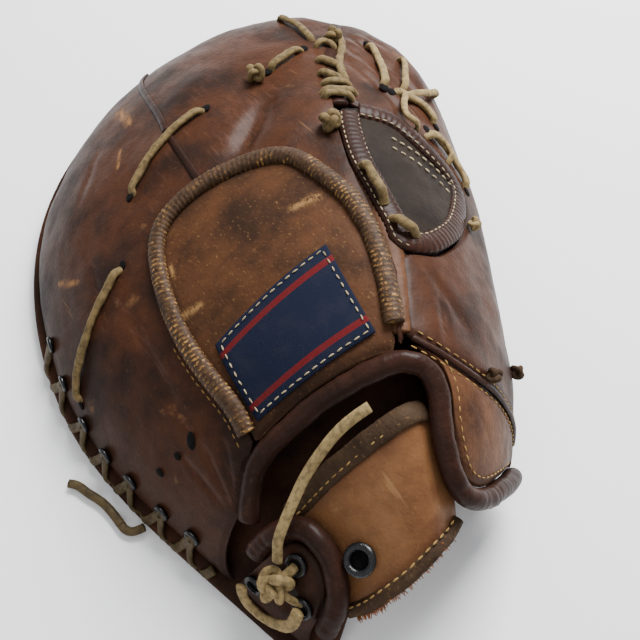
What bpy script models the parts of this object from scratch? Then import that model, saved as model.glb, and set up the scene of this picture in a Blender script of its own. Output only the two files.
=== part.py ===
"""Baseball glove: a three-section first base mitt for the left hand, lying palm down.

Every leather panel is a sheet laid on one smooth back surface. The surface is
a row of cross sections from the wrist to the tips. Each section runs from the
finger rim over the ridge of the back to the thumb rim. A place on it is named
by two shares: w goes from the wrist (0) to the tips (1), t goes from the
finger rim (-1) over the ridge (0) to the thumb rim (1). Panel outlines,
bindings and laces are short tables of these shares. All lengths are metres.
"""
import math

import bpy
import bmesh
import numpy as np
from mathutils import Vector

# Named sizes. The shares in the section table are shares of these three.
MITT_WIDTH = 0.250
MITT_LENGTH = 0.300
MITT_HEIGHT = 0.090

# Moves the shape so the origin lies under the middle of its box.
MOVE = (0.0012, -0.0006, 0.0)

LEATHER = 0.0025
SEAT_GAP = 0.0009
WIDE_SEAT_GAP = 0.0014
PALM_SEAT = 0.0018
SEAM_GAP = 0.0006
LABEL_THICK = 0.0008

# The palm bows less than the back, so the thumb and the fingers have their room.
PALM_FULLNESS = 0.35
PALM_PAD = 0.0115
PALM_PAD_TIP = 0.0070
RIM_PAD = 0.0065
RIM_ROLL_FINGER = 0.0048
RIM_ROLL_THUMB = 0.0020
RIM_ROLL_TOP = 0.0008
RIM_ROLL_ROUND = 0.0016

BINDING_RADIUS = 0.0042
TAB_BINDING_RADIUS = 0.0040
STRAP_BINDING_HALF = 0.0042
STRAP_BINDING_RISE = 0.0026
STRAP_THICK = 0.0030
WELT_HALF = 0.0041
WELT_RISE = 0.0030
THUMB_WELT_HALF = 0.0016
THUMB_WELT_RISE = 0.0016
WEB_BORDER_HALF = 0.0040
WEB_BORDER_RISE = 0.0024

LACE_HALF = 0.0021
LACE_RISE = 0.0016
RIM_LACE_RADIUS = 0.0017
TIE_RADIUS = 0.0022
RIM_END_RADIUS = 0.0020
KNOT_RADIUS = 0.0042
SMALL_KNOT_RADIUS = 0.0030

RIM_EYELET_RADIUS = 0.0034
RIM_EYELET_WIRE = 0.0010
STRAP_EYELET_RADIUS = 0.0048
STRAP_EYELET_WIRE = 0.0015
TAB_EYELET_RADIUS = 0.0036
TAB_EYELET_WIRE = 0.0011

# Cross sections of the back, a row each from the wrist to the tips.
# x as a share of MITT_WIDTH, y of MITT_LENGTH, z of MITT_HEIGHT.
# The two fullness numbers say how boxy each side is: 1 straight, 2 round.
SECTIONS = [
    # w,    finger x, y, z,          ridge x, y, z,          thumb x, y, z,        finger, thumb
    (0.00, -0.392, -0.470, 0.067, -0.192, -0.503, 0.600, 0.000, -0.477, 0.067, 1.90, 2.00),
    (0.14, -0.440, -0.290, 0.067, -0.104, -0.370, 0.911, 0.112, -0.403, 0.056, 1.50, 1.90),
    (0.28, -0.480, -0.110, 0.067, -0.040, -0.243, 1.000, 0.204, -0.310, 0.044, 1.50, 1.80),
    (0.42, -0.468, 0.090, 0.089, 0.032, -0.110, 1.011, 0.296, -0.197, 0.044, 1.50, 1.80),
    (0.57, -0.336, 0.330, 0.133, 0.104, 0.017, 0.967, 0.384, -0.077, 0.067, 1.50, 1.80),
    (0.71, -0.092, 0.477, 0.189, 0.192, 0.137, 0.878, 0.456, 0.043, 0.111, 1.55, 1.80),
    (0.86, 0.184, 0.503, 0.256, 0.288, 0.243, 0.744, 0.504, 0.170, 0.222, 1.65, 1.85),
    (1.00, 0.360, 0.417, 0.378, 0.392, 0.330, 0.589, 0.464, 0.297, 0.400, 2.00, 2.00),
]

# Room for the hand under the ridge, and how thick the palm edge is at the finger rim.
ROOM = [
    # w,   cavity, edge thickness
    (-0.03, 0.0330, 0.0080),
    (0.14, 0.0300, 0.0080),
    (0.28, 0.0280, 0.0080),
    (0.42, 0.0260, 0.0090),
    (0.57, 0.0230, 0.0120),
    (0.71, 0.0180, 0.0140),
    (0.86, 0.0110, 0.0140),
    (1.00, 0.0000, 0.0120),
]

# Broad folds and swells of the leather: a line from one place to another,
# how far the swell reaches to each side, and its height (a fold is negative).
FOLDS = [
    # w,    t,     to w,  to t,   reach,  height
    (0.715, -0.225, 0.590, -0.262, 0.0110, -0.0034),
    (0.700, -0.420, 0.600, -0.420, 0.0160, 0.0026),
    (0.560, -0.620, 0.420, -0.640, 0.0200, 0.0016),
    (0.610, -0.120, 0.660, -0.060, 0.0120, 0.0016),
    (0.360, -0.200, 0.290, -0.240, 0.0260, 0.0020),
    (0.300, 0.620, 0.560, 0.700, 0.0100, 0.0016),
    (0.880, 0.300, 0.720, 0.420, 0.0060, -0.0016),
    (0.900, 0.560, 0.740, 0.620, 0.0070, 0.0014),
    (0.240, 0.330, 0.170, 0.600, 0.0100, -0.0012),
]

# Centre line of the thick welt round the hand panel, finger side to thumb side.
WELT_LINE = [
    # w,    t
    (0.204, -0.474),
    (0.226, -0.464),
    (0.255, -0.457),
    (0.305, -0.464),
    (0.369, -0.470),
    (0.435, -0.464),
    (0.478, -0.448),
    (0.507, -0.408),
    (0.533, -0.335),
    (0.551, -0.255),
    (0.556, -0.190),
    (0.541, -0.128),
    (0.489, -0.066),
    (0.435, -0.008),
    (0.380, 0.030),
    (0.320, 0.033),
    (0.271, 0.013),
    (0.230, -0.020),
]

# Outer boundary of the finger back, a row for each row of the welt line.
FINGER_OUTER = [
    # w,    t
    (0.215, -1.000),
    (0.255, -1.000),
    (0.300, -1.000),
    (0.350, -1.000),
    (0.410, -1.000),
    (0.470, -1.000),
    (0.540, -1.000),
    (0.630, -1.000),
    (0.740, -1.000),
    (0.870, -1.000),
    (1.000, -1.000),
    (1.000, -0.400),
    (1.000, 0.036),
    (0.790, 0.030),
    (0.640, 0.036),
    (0.545, 0.034),
    (0.440, 0.070),
    (0.330, 0.102),
]

# The finger back goes on past the welt to the wrist: the row of the opening
# line it lies beside, then its outer place at the rim.
FINGER_WRIST_END = [
    # row,  outer w, outer t
    (0.00, 0.108, -1.000),
    (0.80, 0.135, -1.000),
    (1.50, 0.160, -1.000),
    (2.10, 0.188, -1.000),
]
FINGER_LAST = (0.2250, 0.004, 0.2320, 0.026)

# Hand panel: the row of the opening line that each row of the welt line comes down to.
PANEL_LOWER = [2.45, 2.75, 3.00, 3.25, 3.50, 3.75, 3.95, 4.15, 4.35, 4.50, 4.65, 4.80, 4.95, 5.10,
               5.30, 5.50, 5.70, 5.85]

# Thumb back: inner edge, middle and outer edge of each row, from the thumb
# seam past the web to the tip.
THUMB_ROWS = [
    # w,     t,     mid w, mid t, outer w, outer t
    (0.236, 0.044, 0.162, 0.400, 0.110, 1.000),
    (0.275, 0.068, 0.215, 0.500, 0.180, 1.000),
    (0.315, 0.102, 0.275, 0.530, 0.245, 1.000),
    (0.345, 0.126, 0.310, 0.560, 0.300, 1.000),
    (0.347, 0.210, 0.335, 0.610, 0.345, 1.000),
    (0.350, 0.300, 0.360, 0.650, 0.390, 1.000),
    (0.370, 0.393, 0.395, 0.700, 0.430, 1.000),
    (0.403, 0.478, 0.430, 0.745, 0.465, 1.000),
    (0.469, 0.558, 0.490, 0.785, 0.510, 1.000),
    (0.535, 0.562, 0.550, 0.785, 0.560, 1.000),
    (0.588, 0.456, 0.600, 0.730, 0.610, 1.000),
    (0.638, 0.342, 0.650, 0.670, 0.665, 1.000),
    (0.659, 0.246, 0.690, 0.610, 0.720, 1.000),
    (0.668, 0.135, 0.740, 0.560, 0.790, 1.000),
    (0.725, 0.062, 0.800, 0.550, 0.850, 1.000),
    (0.810, 0.050, 0.865, 0.545, 0.905, 1.000),
    (0.900, 0.056, 0.930, 0.540, 0.955, 1.000),
    (1.000, 0.070, 1.000, 0.540, 1.000, 1.000),
]

# Thumb heel: from the thumb seam down to the binding.
HEEL_ROWS = [
    # w,     t,     row of the opening line
    (0.2180, 0.072, 6.85),
    (0.2080, 0.125, 7.20),
    (0.1950, 0.178, 7.90),
    (0.1840, 0.225, 8.80),
    (0.1700, 0.290, 9.90),
    (0.1560, 0.365, 10.80),
    (0.1420, 0.465, 11.70),
    (0.1300, 0.590, 12.60),
    (0.1190, 0.750, 13.50),
    (0.1080, 0.900, 14.30),
    (0.1020, 1.000, 15.00),
]

# Web: the pad between the lobes, finger edge to thumb edge.
WEB_ROWS = [
    # w,     t,     thumb w, thumb t
    (0.3620, 0.122, 0.3500, 0.205),
    (0.3900, 0.106, 0.3540, 0.296),
    (0.4240, 0.088, 0.3750, 0.386),
    (0.4600, 0.072, 0.4080, 0.470),
    (0.5000, 0.056, 0.4700, 0.550),
    (0.5400, 0.045, 0.5320, 0.554),
    (0.5800, 0.044, 0.5840, 0.449),
    (0.6140, 0.046, 0.6340, 0.335),
    (0.6400, 0.054, 0.6540, 0.240),
    (0.6560, 0.078, 0.6620, 0.150),
]

# Sides of the palm's split under the web and between the two lobes.
SPLIT = [
    # w,     finger t, thumb t
    (-0.030, 0.190, 0.210),
    (0.300, 0.190, 0.210),
    (0.345, 0.190, 0.215),
    (0.362, 0.120, 0.310),
    (0.385, 0.096, 0.440),
    (0.430, 0.070, 0.520),
    (0.500, 0.044, 0.578),
    (0.560, 0.034, 0.540),
    (0.610, 0.036, 0.430),
    (0.650, 0.036, 0.300),
    (0.675, 0.034, 0.135),
    (0.750, 0.030, 0.084),
    (0.880, 0.034, 0.084),
    (1.000, 0.036, 0.100),
]
SPLIT_START = 0.350

# The heel of the palm is cut back from the strap: its first w at each t.
PALM_HEEL = [
    # t,    w
    (-1.300, -0.020),
    (-1.000, -0.020),
    (-0.700, -0.006),
    (-0.450, 0.034),
    (-0.200, 0.070),
    (0.100, 0.084),
    (0.500, 0.078),
    (1.000, 0.085),
    (1.300, 0.085),
]
PALM_HEEL_REACH = 0.245

# Rolled binding round the opening, from the finger side corner round to the thumb rim.
OPENING_LINE = [
    # w,    t,     depth
    (0.138, -0.625, 0.0010),
    (0.150, -0.590, 0.0010),
    (0.179, -0.505, 0.0010),
    (0.194, -0.395, 0.0010),
    (0.203, -0.275, 0.0010),
    (0.206, -0.145, 0.0010),
    (0.203, -0.040, 0.0010),
    (0.187, 0.075, 0.0010),
    (0.150, 0.110, 0.0010),
    (0.113, 0.096, 0.0010),
    (0.073, 0.118, 0.0010),
    (0.041, 0.200, 0.0010),
    (0.020, 0.370, 0.0005),
    (0.017, 0.540, 0.0000),
    (0.024, 0.720, -0.0010),
    (0.048, 0.880, -0.0020),
]

# The wrist tab on the finger side, and its binding.
TAB_LINE = [
    # w,    t
    (0.106, -0.690),
    (0.109, -0.610),
    (0.103, -0.525),
    (0.084, -0.472),
    (0.055, -0.460),
    (0.028, -0.490),
    (0.012, -0.570),
    (0.004, -0.680),
]
TAB_ROWS = [
    # w,     t,    rim w, rim t
    (0.0930, -0.700, 0.1010, -0.990),
    (0.0950, -0.615, 0.0870, -0.985),
    (0.0900, -0.550, 0.0740, -0.985),
    (0.0760, -0.518, 0.0610, -0.985),
    (0.0550, -0.510, 0.0470, -0.985),
    (0.0370, -0.537, 0.0340, -0.985),
    (0.0250, -0.592, 0.0210, -0.985),
    (0.0170, -0.680, 0.0060, -0.985),
]

# The wrist strap: upper edge, lower edge and how deep it lies in each row.
STRAP_ROWS = [
    # w,    t,      lower w, lower t, depth
    (0.104, -0.590, 0.019, -0.660, 0.0066),
    (0.108, -0.525, 0.011, -0.590, 0.0062),
    (0.116, -0.430, 0.005, -0.480, 0.0060),
    (0.121, -0.360, 0.005, -0.360, 0.0036),
    (0.126, -0.270, 0.007, -0.240, 0.0016),
    (0.131, -0.180, 0.010, -0.140, 0.0010),
    (0.135, -0.090, 0.015, -0.050, 0.0012),
    (0.137, -0.020, 0.019, 0.030, 0.0030),
    (0.138, 0.050, 0.023, 0.100, 0.0058),
    (0.138, 0.120, 0.029, 0.170, 0.0066),
]
STRAP_ROW_PARTS = 2
# The strap's lower edge slopes under its binding, so the binding stands off by this.
STRAP_LOWER_GAP = 0.0028
# The bindings cover these rows of the strap's two edges.
STRAP_TOP_ROWS = (2.5, 7.0)
STRAP_LOWER_ROWS = (2.5, 8.5)

# The label's four corners on the hand panel, finger side upper corner first.
LABEL_CORNERS = [
    # w,    t
    (0.323, -0.416),
    (0.380, -0.128),
    (0.247, -0.088),
    (0.219, -0.432),
]

# Lines of the laces and the sewn strips that lie on the leather.
THUMB_SEAM_LINE = [(0.227, 0.061), (0.203, 0.150), (0.176, 0.262), (0.150, 0.420), (0.125, 0.660), (0.108, 0.900)]
STRIP_LINE_UPPER = [(0.738, -0.740), (0.695, -0.630), (0.648, -0.530)]
STRIP_LINE_LOWER = [(0.595, -0.425), (0.565, -0.375), (0.543, -0.345)]
BACK_LACE_UPPER = [(0.660, -0.342), (0.632, -0.385), (0.603, -0.425), (0.574, -0.465), (0.546, -0.502)]
BACK_LACE_LOWER = [(0.466, -0.540), (0.446, -0.585), (0.430, -0.632), (0.414, -0.680), (0.398, -0.740),
                   (0.382, -0.800), (0.366, -0.850)]
INDEX_LACE = [(0.752, -0.212), (0.780, -0.180), (0.812, -0.145), (0.840, -0.108)]
FINGER_KNOT = (0.734, -0.238)
WEB_KNOT = (0.604, -0.006)
WEB_LACE_UPPER = [(0.510, 0.084), (0.478, 0.094), (0.448, 0.108), (0.424, 0.122)]
WEB_LACE_LOWER = [(0.402, 0.134), (0.386, 0.148), (0.376, 0.182), (0.372, 0.222)]
TIP_LACE_UPPER = [(0.800, -0.050), (0.795, 0.010), (0.785, 0.070), (0.770, 0.130)]
TIP_LACE_LOWER = [(0.715, -0.030), (0.718, 0.030), (0.722, 0.085), (0.724, 0.150)]
TIP_KNOT = (0.900, 0.062)
THUMB_LACE_LONG = [(0.905, 0.330), (0.850, 0.330), (0.790, 0.320), (0.730, 0.300)]
THUMB_LACE_CROSS = [(0.720, 0.340), (0.722, 0.420), (0.700, 0.500), (0.668, 0.560)]
THUMB_LACE_SHORT = [(0.640, 0.470), (0.610, 0.545), (0.570, 0.600), (0.530, 0.630)]
THUMB_KNOT_INNER = (0.165, 0.430)
THUMB_KNOT_OUTER = (0.215, 0.760)

RIM_EYELETS = [(0.443, -0.880), (0.400, -0.890), (0.349, -0.900), (0.305, -0.900),
               (0.262, -0.885), (0.212, -0.880), (0.168, -0.860)]
TAB_EYELETS = [(0.070, -0.575), (0.084, -0.800), (0.034, -0.680)]
STRAP_EYELET = (0.040, -0.352)

# The lace that ties the strap: a flat knot, a loop and a long free end.
TIE_KNOT = (0.068, -0.650)
TIE_KNOT_SIZE = (0.0062, 0.0074, 0.0034)
TIE_LOOP = [(0.092, -0.790), (0.081, -0.835), (0.061, -0.845), (0.044, -0.810), (0.031, -0.745), (0.034, -0.655)]
TIE_END = [
    # w,    t,     height over the back
    (0.0845, -0.598, 0.0050),
    (0.0930, -0.566, 0.0063),
    (0.102, -0.528, 0.0082),
    (0.120, -0.458, 0.0066),
    (0.134, -0.408, 0.0052),
    (0.146, -0.350, 0.0050),
    (0.158, -0.270, 0.0056),
    (0.162, -0.185, 0.0062),
]
# Free end of the rim lace on the table, as x, y and z shares of the named sizes.
RIM_END = [
    (-0.5185, -0.166, 0.026),
    (-0.5200, -0.142, 0.026),
    (-0.5250, -0.118, 0.026),
    (-0.5350, -0.096, 0.026),
    (-0.5420, -0.078, 0.026),
    (-0.5530, -0.066, 0.026),
]

COLOURS = {
    # slot: red, green, blue, roughness
    "finger_leather": (0.105, 0.032, 0.016, 0.36),
    "panel_leather": (0.210, 0.078, 0.026, 0.42),
    "palm_leather": (0.070, 0.026, 0.014, 0.50),
    "web_leather": (0.085, 0.040, 0.024, 0.50),
    "strap_leather": (0.260, 0.105, 0.038, 0.40),
    "binding_leather": (0.055, 0.020, 0.013, 0.34),
    "welt_leather": (0.130, 0.070, 0.024, 0.60),
    "lace_rawhide": (0.210, 0.155, 0.075, 0.70),
    "label_fabric": (0.012, 0.018, 0.050, 0.85),
    "eyelet_metal": (0.012, 0.013, 0.014, 0.25),
}


def natural_cubic(knots, values):
    """Second derivatives of a natural cubic through the rows of values."""
    count = len(knots)
    steps = np.diff(knots)
    matrix = np.zeros((count, count))
    right = np.zeros((count, values.shape[1]))
    matrix[0, 0] = 1.0
    matrix[-1, -1] = 1.0
    for i in range(1, count - 1):
        matrix[i, i - 1] = steps[i - 1]
        matrix[i, i] = 2.0 * (steps[i - 1] + steps[i])
        matrix[i, i + 1] = steps[i]
        rise = (values[i + 1] - values[i]) / steps[i]
        fall = (values[i] - values[i - 1]) / steps[i - 1]
        right[i] = 6.0 * (rise - fall)
    return np.linalg.solve(matrix, right)


def cubic_at(knots, values, bends, places):
    """Value and slope of the cubic at each place."""
    i = np.clip(np.searchsorted(knots, places, side="right") - 1, 0, len(knots) - 2)
    d = (places - knots[i])[:, None]
    h = (knots[i + 1] - knots[i])[:, None]
    slope = (values[i + 1] - values[i]) / h - h * (2.0 * bends[i] + bends[i + 1]) / 6.0
    value = values[i] + d * slope + d * d * bends[i] / 2.0 + d ** 3 * (bends[i + 1] - bends[i]) / (6.0 * h)
    rate = slope + d * bends[i] + d * d * (bends[i + 1] - bends[i]) / (2.0 * h)
    return value, rate


TABLE = np.array(SECTIONS)
KNOTS = TABLE[:, 0]
SCALE = np.array([MITT_WIDTH, MITT_LENGTH, MITT_HEIGHT] * 3 + [1.0, 1.0])
VALUES = TABLE[:, 1:] * SCALE
BENDS = natural_cubic(KNOTS, VALUES)


def column(rows, index, w):
    """One column of a small table, read by straight lines between its rows."""
    table = np.array(rows)
    return np.interp(w, table[:, 0], table[:, index])


def unit(rows):
    """Rows scaled to length one."""
    return rows / np.maximum(np.linalg.norm(rows, axis=1), 1e-12)[:, None]


def hermite(start, end, leave, arrive, q):
    """Smooth plan curve from start to end."""
    q = q[:, None]
    a = 2.0 * q ** 3 - 3.0 * q ** 2 + 1.0
    b = q ** 3 - 2.0 * q ** 2 + q
    c = -2.0 * q ** 3 + 3.0 * q ** 2
    d = q ** 3 - q ** 2
    return a * start + b * leave + c * end + d * arrive


def skin(w, t, inset, drop, foot_finger=None, foot_thumb=None, flat=0.0):
    """Places on the back surface drawn in by inset at the rims and drop at the ridge."""
    w, t, inset, drop = [np.array(x, dtype=float).ravel() for x in np.broadcast_arrays(w, t, inset, drop)]
    value, rate = cubic_at(KNOTS, VALUES, BENDS, w)
    finger = value[:, 0:3].copy()
    ridge = value[:, 3:6].copy()
    thumb = value[:, 6:9].copy()
    kept = 1.0 - (1.0 - PALM_FULLNESS) * flat
    full_finger = 1.0 + (value[:, 9] - 1.0) * kept
    full_thumb = 1.0 + (value[:, 10] - 1.0) * kept
    finger_way = unit(rate[:, 0:2])
    thumb_way = unit(rate[:, 6:8])
    finger[:, 0] += finger_way[:, 1] * inset
    finger[:, 1] -= finger_way[:, 0] * inset
    thumb[:, 0] -= thumb_way[:, 1] * inset
    thumb[:, 1] += thumb_way[:, 0] * inset
    ridge[:, 2] -= drop
    if foot_finger is not None:
        finger[:, 2] = foot_finger
        thumb[:, 2] = foot_thumb
    across = unit(thumb[:, 0:2] - finger[:, 0:2])
    to_finger = np.linalg.norm(ridge[:, 0:2] - finger[:, 0:2], axis=1)[:, None]
    to_thumb = np.linalg.norm(thumb[:, 0:2] - ridge[:, 0:2], axis=1)[:, None]
    angle = np.clip(1.0 + t, 0.0, 1.0) * math.pi / 2.0
    along = 1.0 - np.abs(np.cos(angle)) ** (2.0 / full_finger)
    high = np.abs(np.sin(angle)) ** (2.0 / full_finger)
    plan = hermite(finger[:, 0:2], ridge[:, 0:2], ridge[:, 0:2] - finger[:, 0:2], across * to_finger, along)
    height = finger[:, 2] + (ridge[:, 2] - finger[:, 2]) * high
    angle = np.clip(t, 0.0, 1.0) * math.pi / 2.0
    along = np.abs(np.sin(angle)) ** (2.0 / full_thumb)
    high = np.abs(np.cos(angle)) ** (2.0 / full_thumb)
    plan_thumb = hermite(ridge[:, 0:2], thumb[:, 0:2], across * to_thumb, thumb[:, 0:2] - ridge[:, 0:2], along)
    height_thumb = thumb[:, 2] + (ridge[:, 2] - thumb[:, 2]) * high
    left = t < 0.0
    places = np.zeros((len(w), 3))
    places[:, 0:2] = np.where(left[:, None], plan, plan_thumb)
    places[:, 2] = np.where(left, height, height_thumb)
    return places


def fold_height(w, t):
    """How far the broad folds and swells lift the leather at each place."""
    here = skin(w, t, 0.0, 0.0)
    lift = np.zeros(len(here))
    for w0, t0, w1, t1, reach, height in FOLDS:
        a = skin(w0, t0, 0.0, 0.0)[0]
        b = skin(w1, t1, 0.0, 0.0)[0]
        share = np.clip(((here - a) @ (b - a)) / ((b - a) @ (b - a)), 0.0, 1.0)
        apart = np.linalg.norm(here - a - share[:, None] * (b - a), axis=1)
        lift += height * np.exp(-(apart / reach) ** 2)
    return lift


def layer(w, t, depth):
    """Places at one depth under the outer face of the back leather."""
    w, t, depth = [np.array(x, dtype=float).ravel() for x in np.broadcast_arrays(w, t, depth)]
    real = depth - fold_height(w, t)
    return skin(w, t, real, real)


def outward(w, t):
    """Unit vectors that point out of the back leather."""
    t = np.clip(t, -0.97, 0.97)
    return unit(layer(w, t, -0.001) - layer(w, t, 0.001))


def smooth_step(x):
    """Ease from 0 to 1."""
    x = np.clip(x, 0.0, 1.0)
    return x * x * (3.0 - 2.0 * x)


def closing(w, t):
    """1 where the hand has its room, falling to 0 along the split between the lobes."""
    side_finger = (column(SPLIT, 1, w) - t) / 0.34
    side_thumb = (t - column(SPLIT, 2, w)) / 0.34
    near = np.where(t < (column(SPLIT, 1, w) + column(SPLIT, 2, w)) / 2.0, side_finger, side_thumb)
    ramp = np.sin(np.clip(near, 0.0, 1.0) * math.pi / 2.0)
    amount = smooth_step((w - 0.28) / 0.14)
    return 1.0 - amount * (1.0 - ramp)


def palm_face(w, t, under):
    """Upper or lower face of the palm. Past the rims it goes on into the rim roll."""
    edge = np.where(np.abs(t) > 1.0, np.abs(t) - 1.0, 0.0)
    t_in = np.clip(t, -1.0, 1.0)
    lift = fold_height(w, t_in)
    seat = LEATHER + PALM_SEAT
    value, rate = cubic_at(KNOTS, VALUES, BENDS, w)
    thick = column(ROOM, 2, w)
    foot_f = np.maximum(value[:, 2] - thick, 0.0)
    foot_t = np.maximum(value[:, 8] - thick, 0.0)
    flat = closing(w, t_in)
    room = column(ROOM, 1, w) * flat
    if under:
        pad = PALM_PAD + (PALM_PAD_TIP - PALM_PAD) * smooth_step((w - 0.6) / 0.4)
        inside = skin(w, t_in, seat + RIM_PAD - lift, seat + room + pad - lift, foot_f, foot_t, flat)
    else:
        inside = skin(w, t_in, seat - lift, seat + room - lift, flat=flat)
    roll = np.where(t < 0.0, RIM_ROLL_FINGER, RIM_ROLL_THUMB)
    top_z = np.where(t < 0.0, value[:, 2], value[:, 8]) - RIM_ROLL_TOP
    foot = np.where(t < 0.0, foot_f, foot_t)
    # The roll has three steps past the rim: under the edge, outside it, and rounded off.
    step = np.rint(edge * 10.0)
    out = np.where(step == 1, seat, np.where(step == 2, -roll * 0.7, -roll))
    ease = np.where(step == 3, RIM_ROLL_ROUND, 0.0)
    rim = skin(w, np.where(t < 0.0, -1.0, 1.0), out, out)
    rim[:, 2] = np.where(under, foot + ease, top_z - ease)
    places = np.where((step > 0)[:, None], rim, inside)
    places[:, 2] = np.maximum(places[:, 2], 0.0)
    return places


def material(slot):
    """The Principled material of one slot."""
    name = "glove_" + slot
    found = bpy.data.materials.get(name)
    if found is not None:
        return found
    red, green, blue, rough = COLOURS[slot]
    made = bpy.data.materials.new(name)
    made.use_nodes = True
    shader = made.node_tree.nodes["Principled BSDF"]
    shader.inputs["Base Color"].default_value = (red, green, blue, 1.0)
    shader.inputs["Roughness"].default_value = rough
    if slot == "eyelet_metal":
        shader.inputs["Metallic"].default_value = 0.6
    return made


def finish(bm, name, slot):
    """Turn the shape into a named object with outward faces."""
    bmesh.ops.translate(bm, verts=bm.verts[:], vec=Vector(MOVE))
    bmesh.ops.recalc_face_normals(bm, faces=bm.faces[:])
    if bm.calc_volume(signed=True) < 0.0:
        bmesh.ops.reverse_faces(bm, faces=bm.faces[:])
    mesh = bpy.data.meshes.new(name)
    bm.to_mesh(mesh)
    bm.free()
    mesh.materials.append(material(slot))
    made = bpy.data.objects.new(name, mesh)
    bpy.context.scene.collection.objects.link(made)
    return made


def sheet(name, slot, grid, top, bottom, keep=None):
    """A leather sheet: a grid of shares, its outer face and its inner face."""
    rows, columns = grid.shape[0], grid.shape[1]
    flat = grid.reshape(-1, grid.shape[2])
    upper = top(flat)
    lower = bottom(flat)
    bm = bmesh.new()
    place = bm.verts.layers.int.new("place")
    bmesh.ops.create_grid(bm, x_segments=rows - 1, y_segments=columns - 1, size=1.0)
    for vert in bm.verts:
        i = int(round((vert.co.x + 1.0) / 2.0 * (rows - 1)))
        j = int(round((vert.co.y + 1.0) / 2.0 * (columns - 1)))
        vert[place] = i * columns + j
    if keep is not None:
        drop = []
        for face in bm.faces:
            corners_at = [v[place] for v in face.verts]
            i = min(p // columns for p in corners_at)
            j = min(p % columns for p in corners_at)
            if not keep(i, j):
                drop.append(face)
        bmesh.ops.delete(bm, geom=drop, context="FACES")
    made = bmesh.ops.extrude_face_region(bm, geom=bm.faces[:])
    fresh = set(g for g in made["geom"] if isinstance(g, bmesh.types.BMVert))
    for vert in bm.verts:
        source = upper if vert in fresh else lower
        vert.co = Vector(source[vert[place]])
    return finish(bm, name, slot)


def leather(name, slot, grid, depth, thick=LEATHER, keep=None):
    """A sheet of even thickness that lies at one depth in the back."""
    def top(flat):
        return layer(flat[:, 0], flat[:, 1], depth)

    def bottom(flat):
        return layer(flat[:, 0], flat[:, 1], depth + thick)
    return sheet(name, slot, grid, top, bottom, keep)


def along_rows(rows, parts, straight=False):
    """The rows of a table with extra rows put between them, on a smooth line."""
    table = np.array(rows, dtype=float)
    knots = np.arange(len(table), dtype=float)
    places = np.linspace(0.0, len(table) - 1.0, (len(table) - 1) * parts + 1)
    if straight:
        return np.stack([np.interp(places, knots, table[:, k]) for k in range(table.shape[1])], axis=1)
    return cubic_at(knots, table, natural_cubic(knots, table), places)[0]


def shifted(line, distance):
    """A line of shares moved sideways on the leather, to the left of its way."""
    w, t = line[:, 0], line[:, 1]
    step = 0.002
    across_w = (layer(w + step, t, 0.0) - layer(w - step, t, 0.0)) / (2.0 * step)
    across_t = (layer(w, t + step, 0.0) - layer(w, t - step, 0.0)) / (2.0 * step)
    way = np.gradient(line, axis=0)
    tangent = unit(across_w * way[:, :1] + across_t * way[:, 1:2])
    side = unit(np.cross(outward(w, t), tangent)) * distance
    moved = line.copy()
    for k in range(len(line)):
        base = np.stack([across_w[k], across_t[k]], axis=1)
        moved[k] = line[k] + np.linalg.lstsq(base, side[k], rcond=None)[0]
    return moved


def ruled(inner, outer, columns, middle=None):
    """A grid of shares between two lines, bent through a middle line if there is one."""
    q = np.linspace(0.0, 1.0, columns + 1)[None, :, None]
    a = inner[:, None, :]
    b = outer[:, None, :]
    if middle is None:
        return a * (1.0 - q) + b * q
    m = middle[:, None, :]
    return a * (1.0 - q) * (1.0 - 2.0 * q) + m * 4.0 * q * (1.0 - q) + b * q * (2.0 * q - 1.0)


def wrap(name, slot, rings):
    """A closed skin over a row of rings, with a flat cap at each end."""
    count, sides = rings.shape[0], rings.shape[1]
    bm = bmesh.new()
    bmesh.ops.create_grid(bm, x_segments=count - 1, y_segments=sides, size=1.0)
    for vert in bm.verts:
        i = int(round((vert.co.x + 1.0) / 2.0 * (count - 1)))
        j = int(round((vert.co.y + 1.0) / 2.0 * sides)) % sides
        vert.co = Vector(rings[i, j])
    bmesh.ops.remove_doubles(bm, verts=bm.verts[:], dist=1e-6)
    ends = [e for e in bm.edges if e.is_boundary]
    bmesh.ops.holes_fill(bm, edges=ends, sides=0)
    return finish(bm, name, slot)


def rings_on(path, up, profile):
    """Rings of one profile set along a path, its height along the up vectors."""
    tangent = unit(np.gradient(path, axis=0))
    side = unit(np.cross(tangent, up))
    high = unit(np.cross(side, tangent))
    shape = np.array(profile)
    return (path[:, None, :] + side[:, None, :] * shape[None, :, 0:1]
            + high[:, None, :] * shape[None, :, 1:2])


def oval(half, rise, sides):
    """A full oval profile."""
    turn = [2.0 * math.pi * k / sides for k in range(sides)]
    return [(half * math.cos(a), rise * math.sin(a)) for a in turn]


def flat_back(half, rise):
    """A low arched profile with a flat foot."""
    return [(half, 0.0), (half * 0.82, rise * 0.66), (0.0, rise), (-half * 0.82, rise * 0.66), (-half, 0.0)]


def on_leather(name, slot, rows, parts, profile, depth=None):
    """A strip or tube that follows a line of shares."""
    line = along_rows(rows, parts)
    deep = line[:, 2] if line.shape[1] > 2 else depth
    path = layer(line[:, 0], line[:, 1], deep)
    return wrap(name, slot, rings_on(path, outward(line[:, 0], line[:, 1]), profile))


def lump(name, slot, place, size, height):
    """A knot: a small round lump that sits on the leather."""
    w, t = np.array([place[0]]), np.array([place[1]])
    foot = layer(w, t, -size - SEAT_GAP - height)[0]
    bm = bmesh.new()
    bmesh.ops.create_icosphere(bm, subdivisions=2, radius=size)
    for vert in bm.verts:
        vert.co = Vector(foot) + vert.co
    return finish(bm, name, slot)


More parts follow.
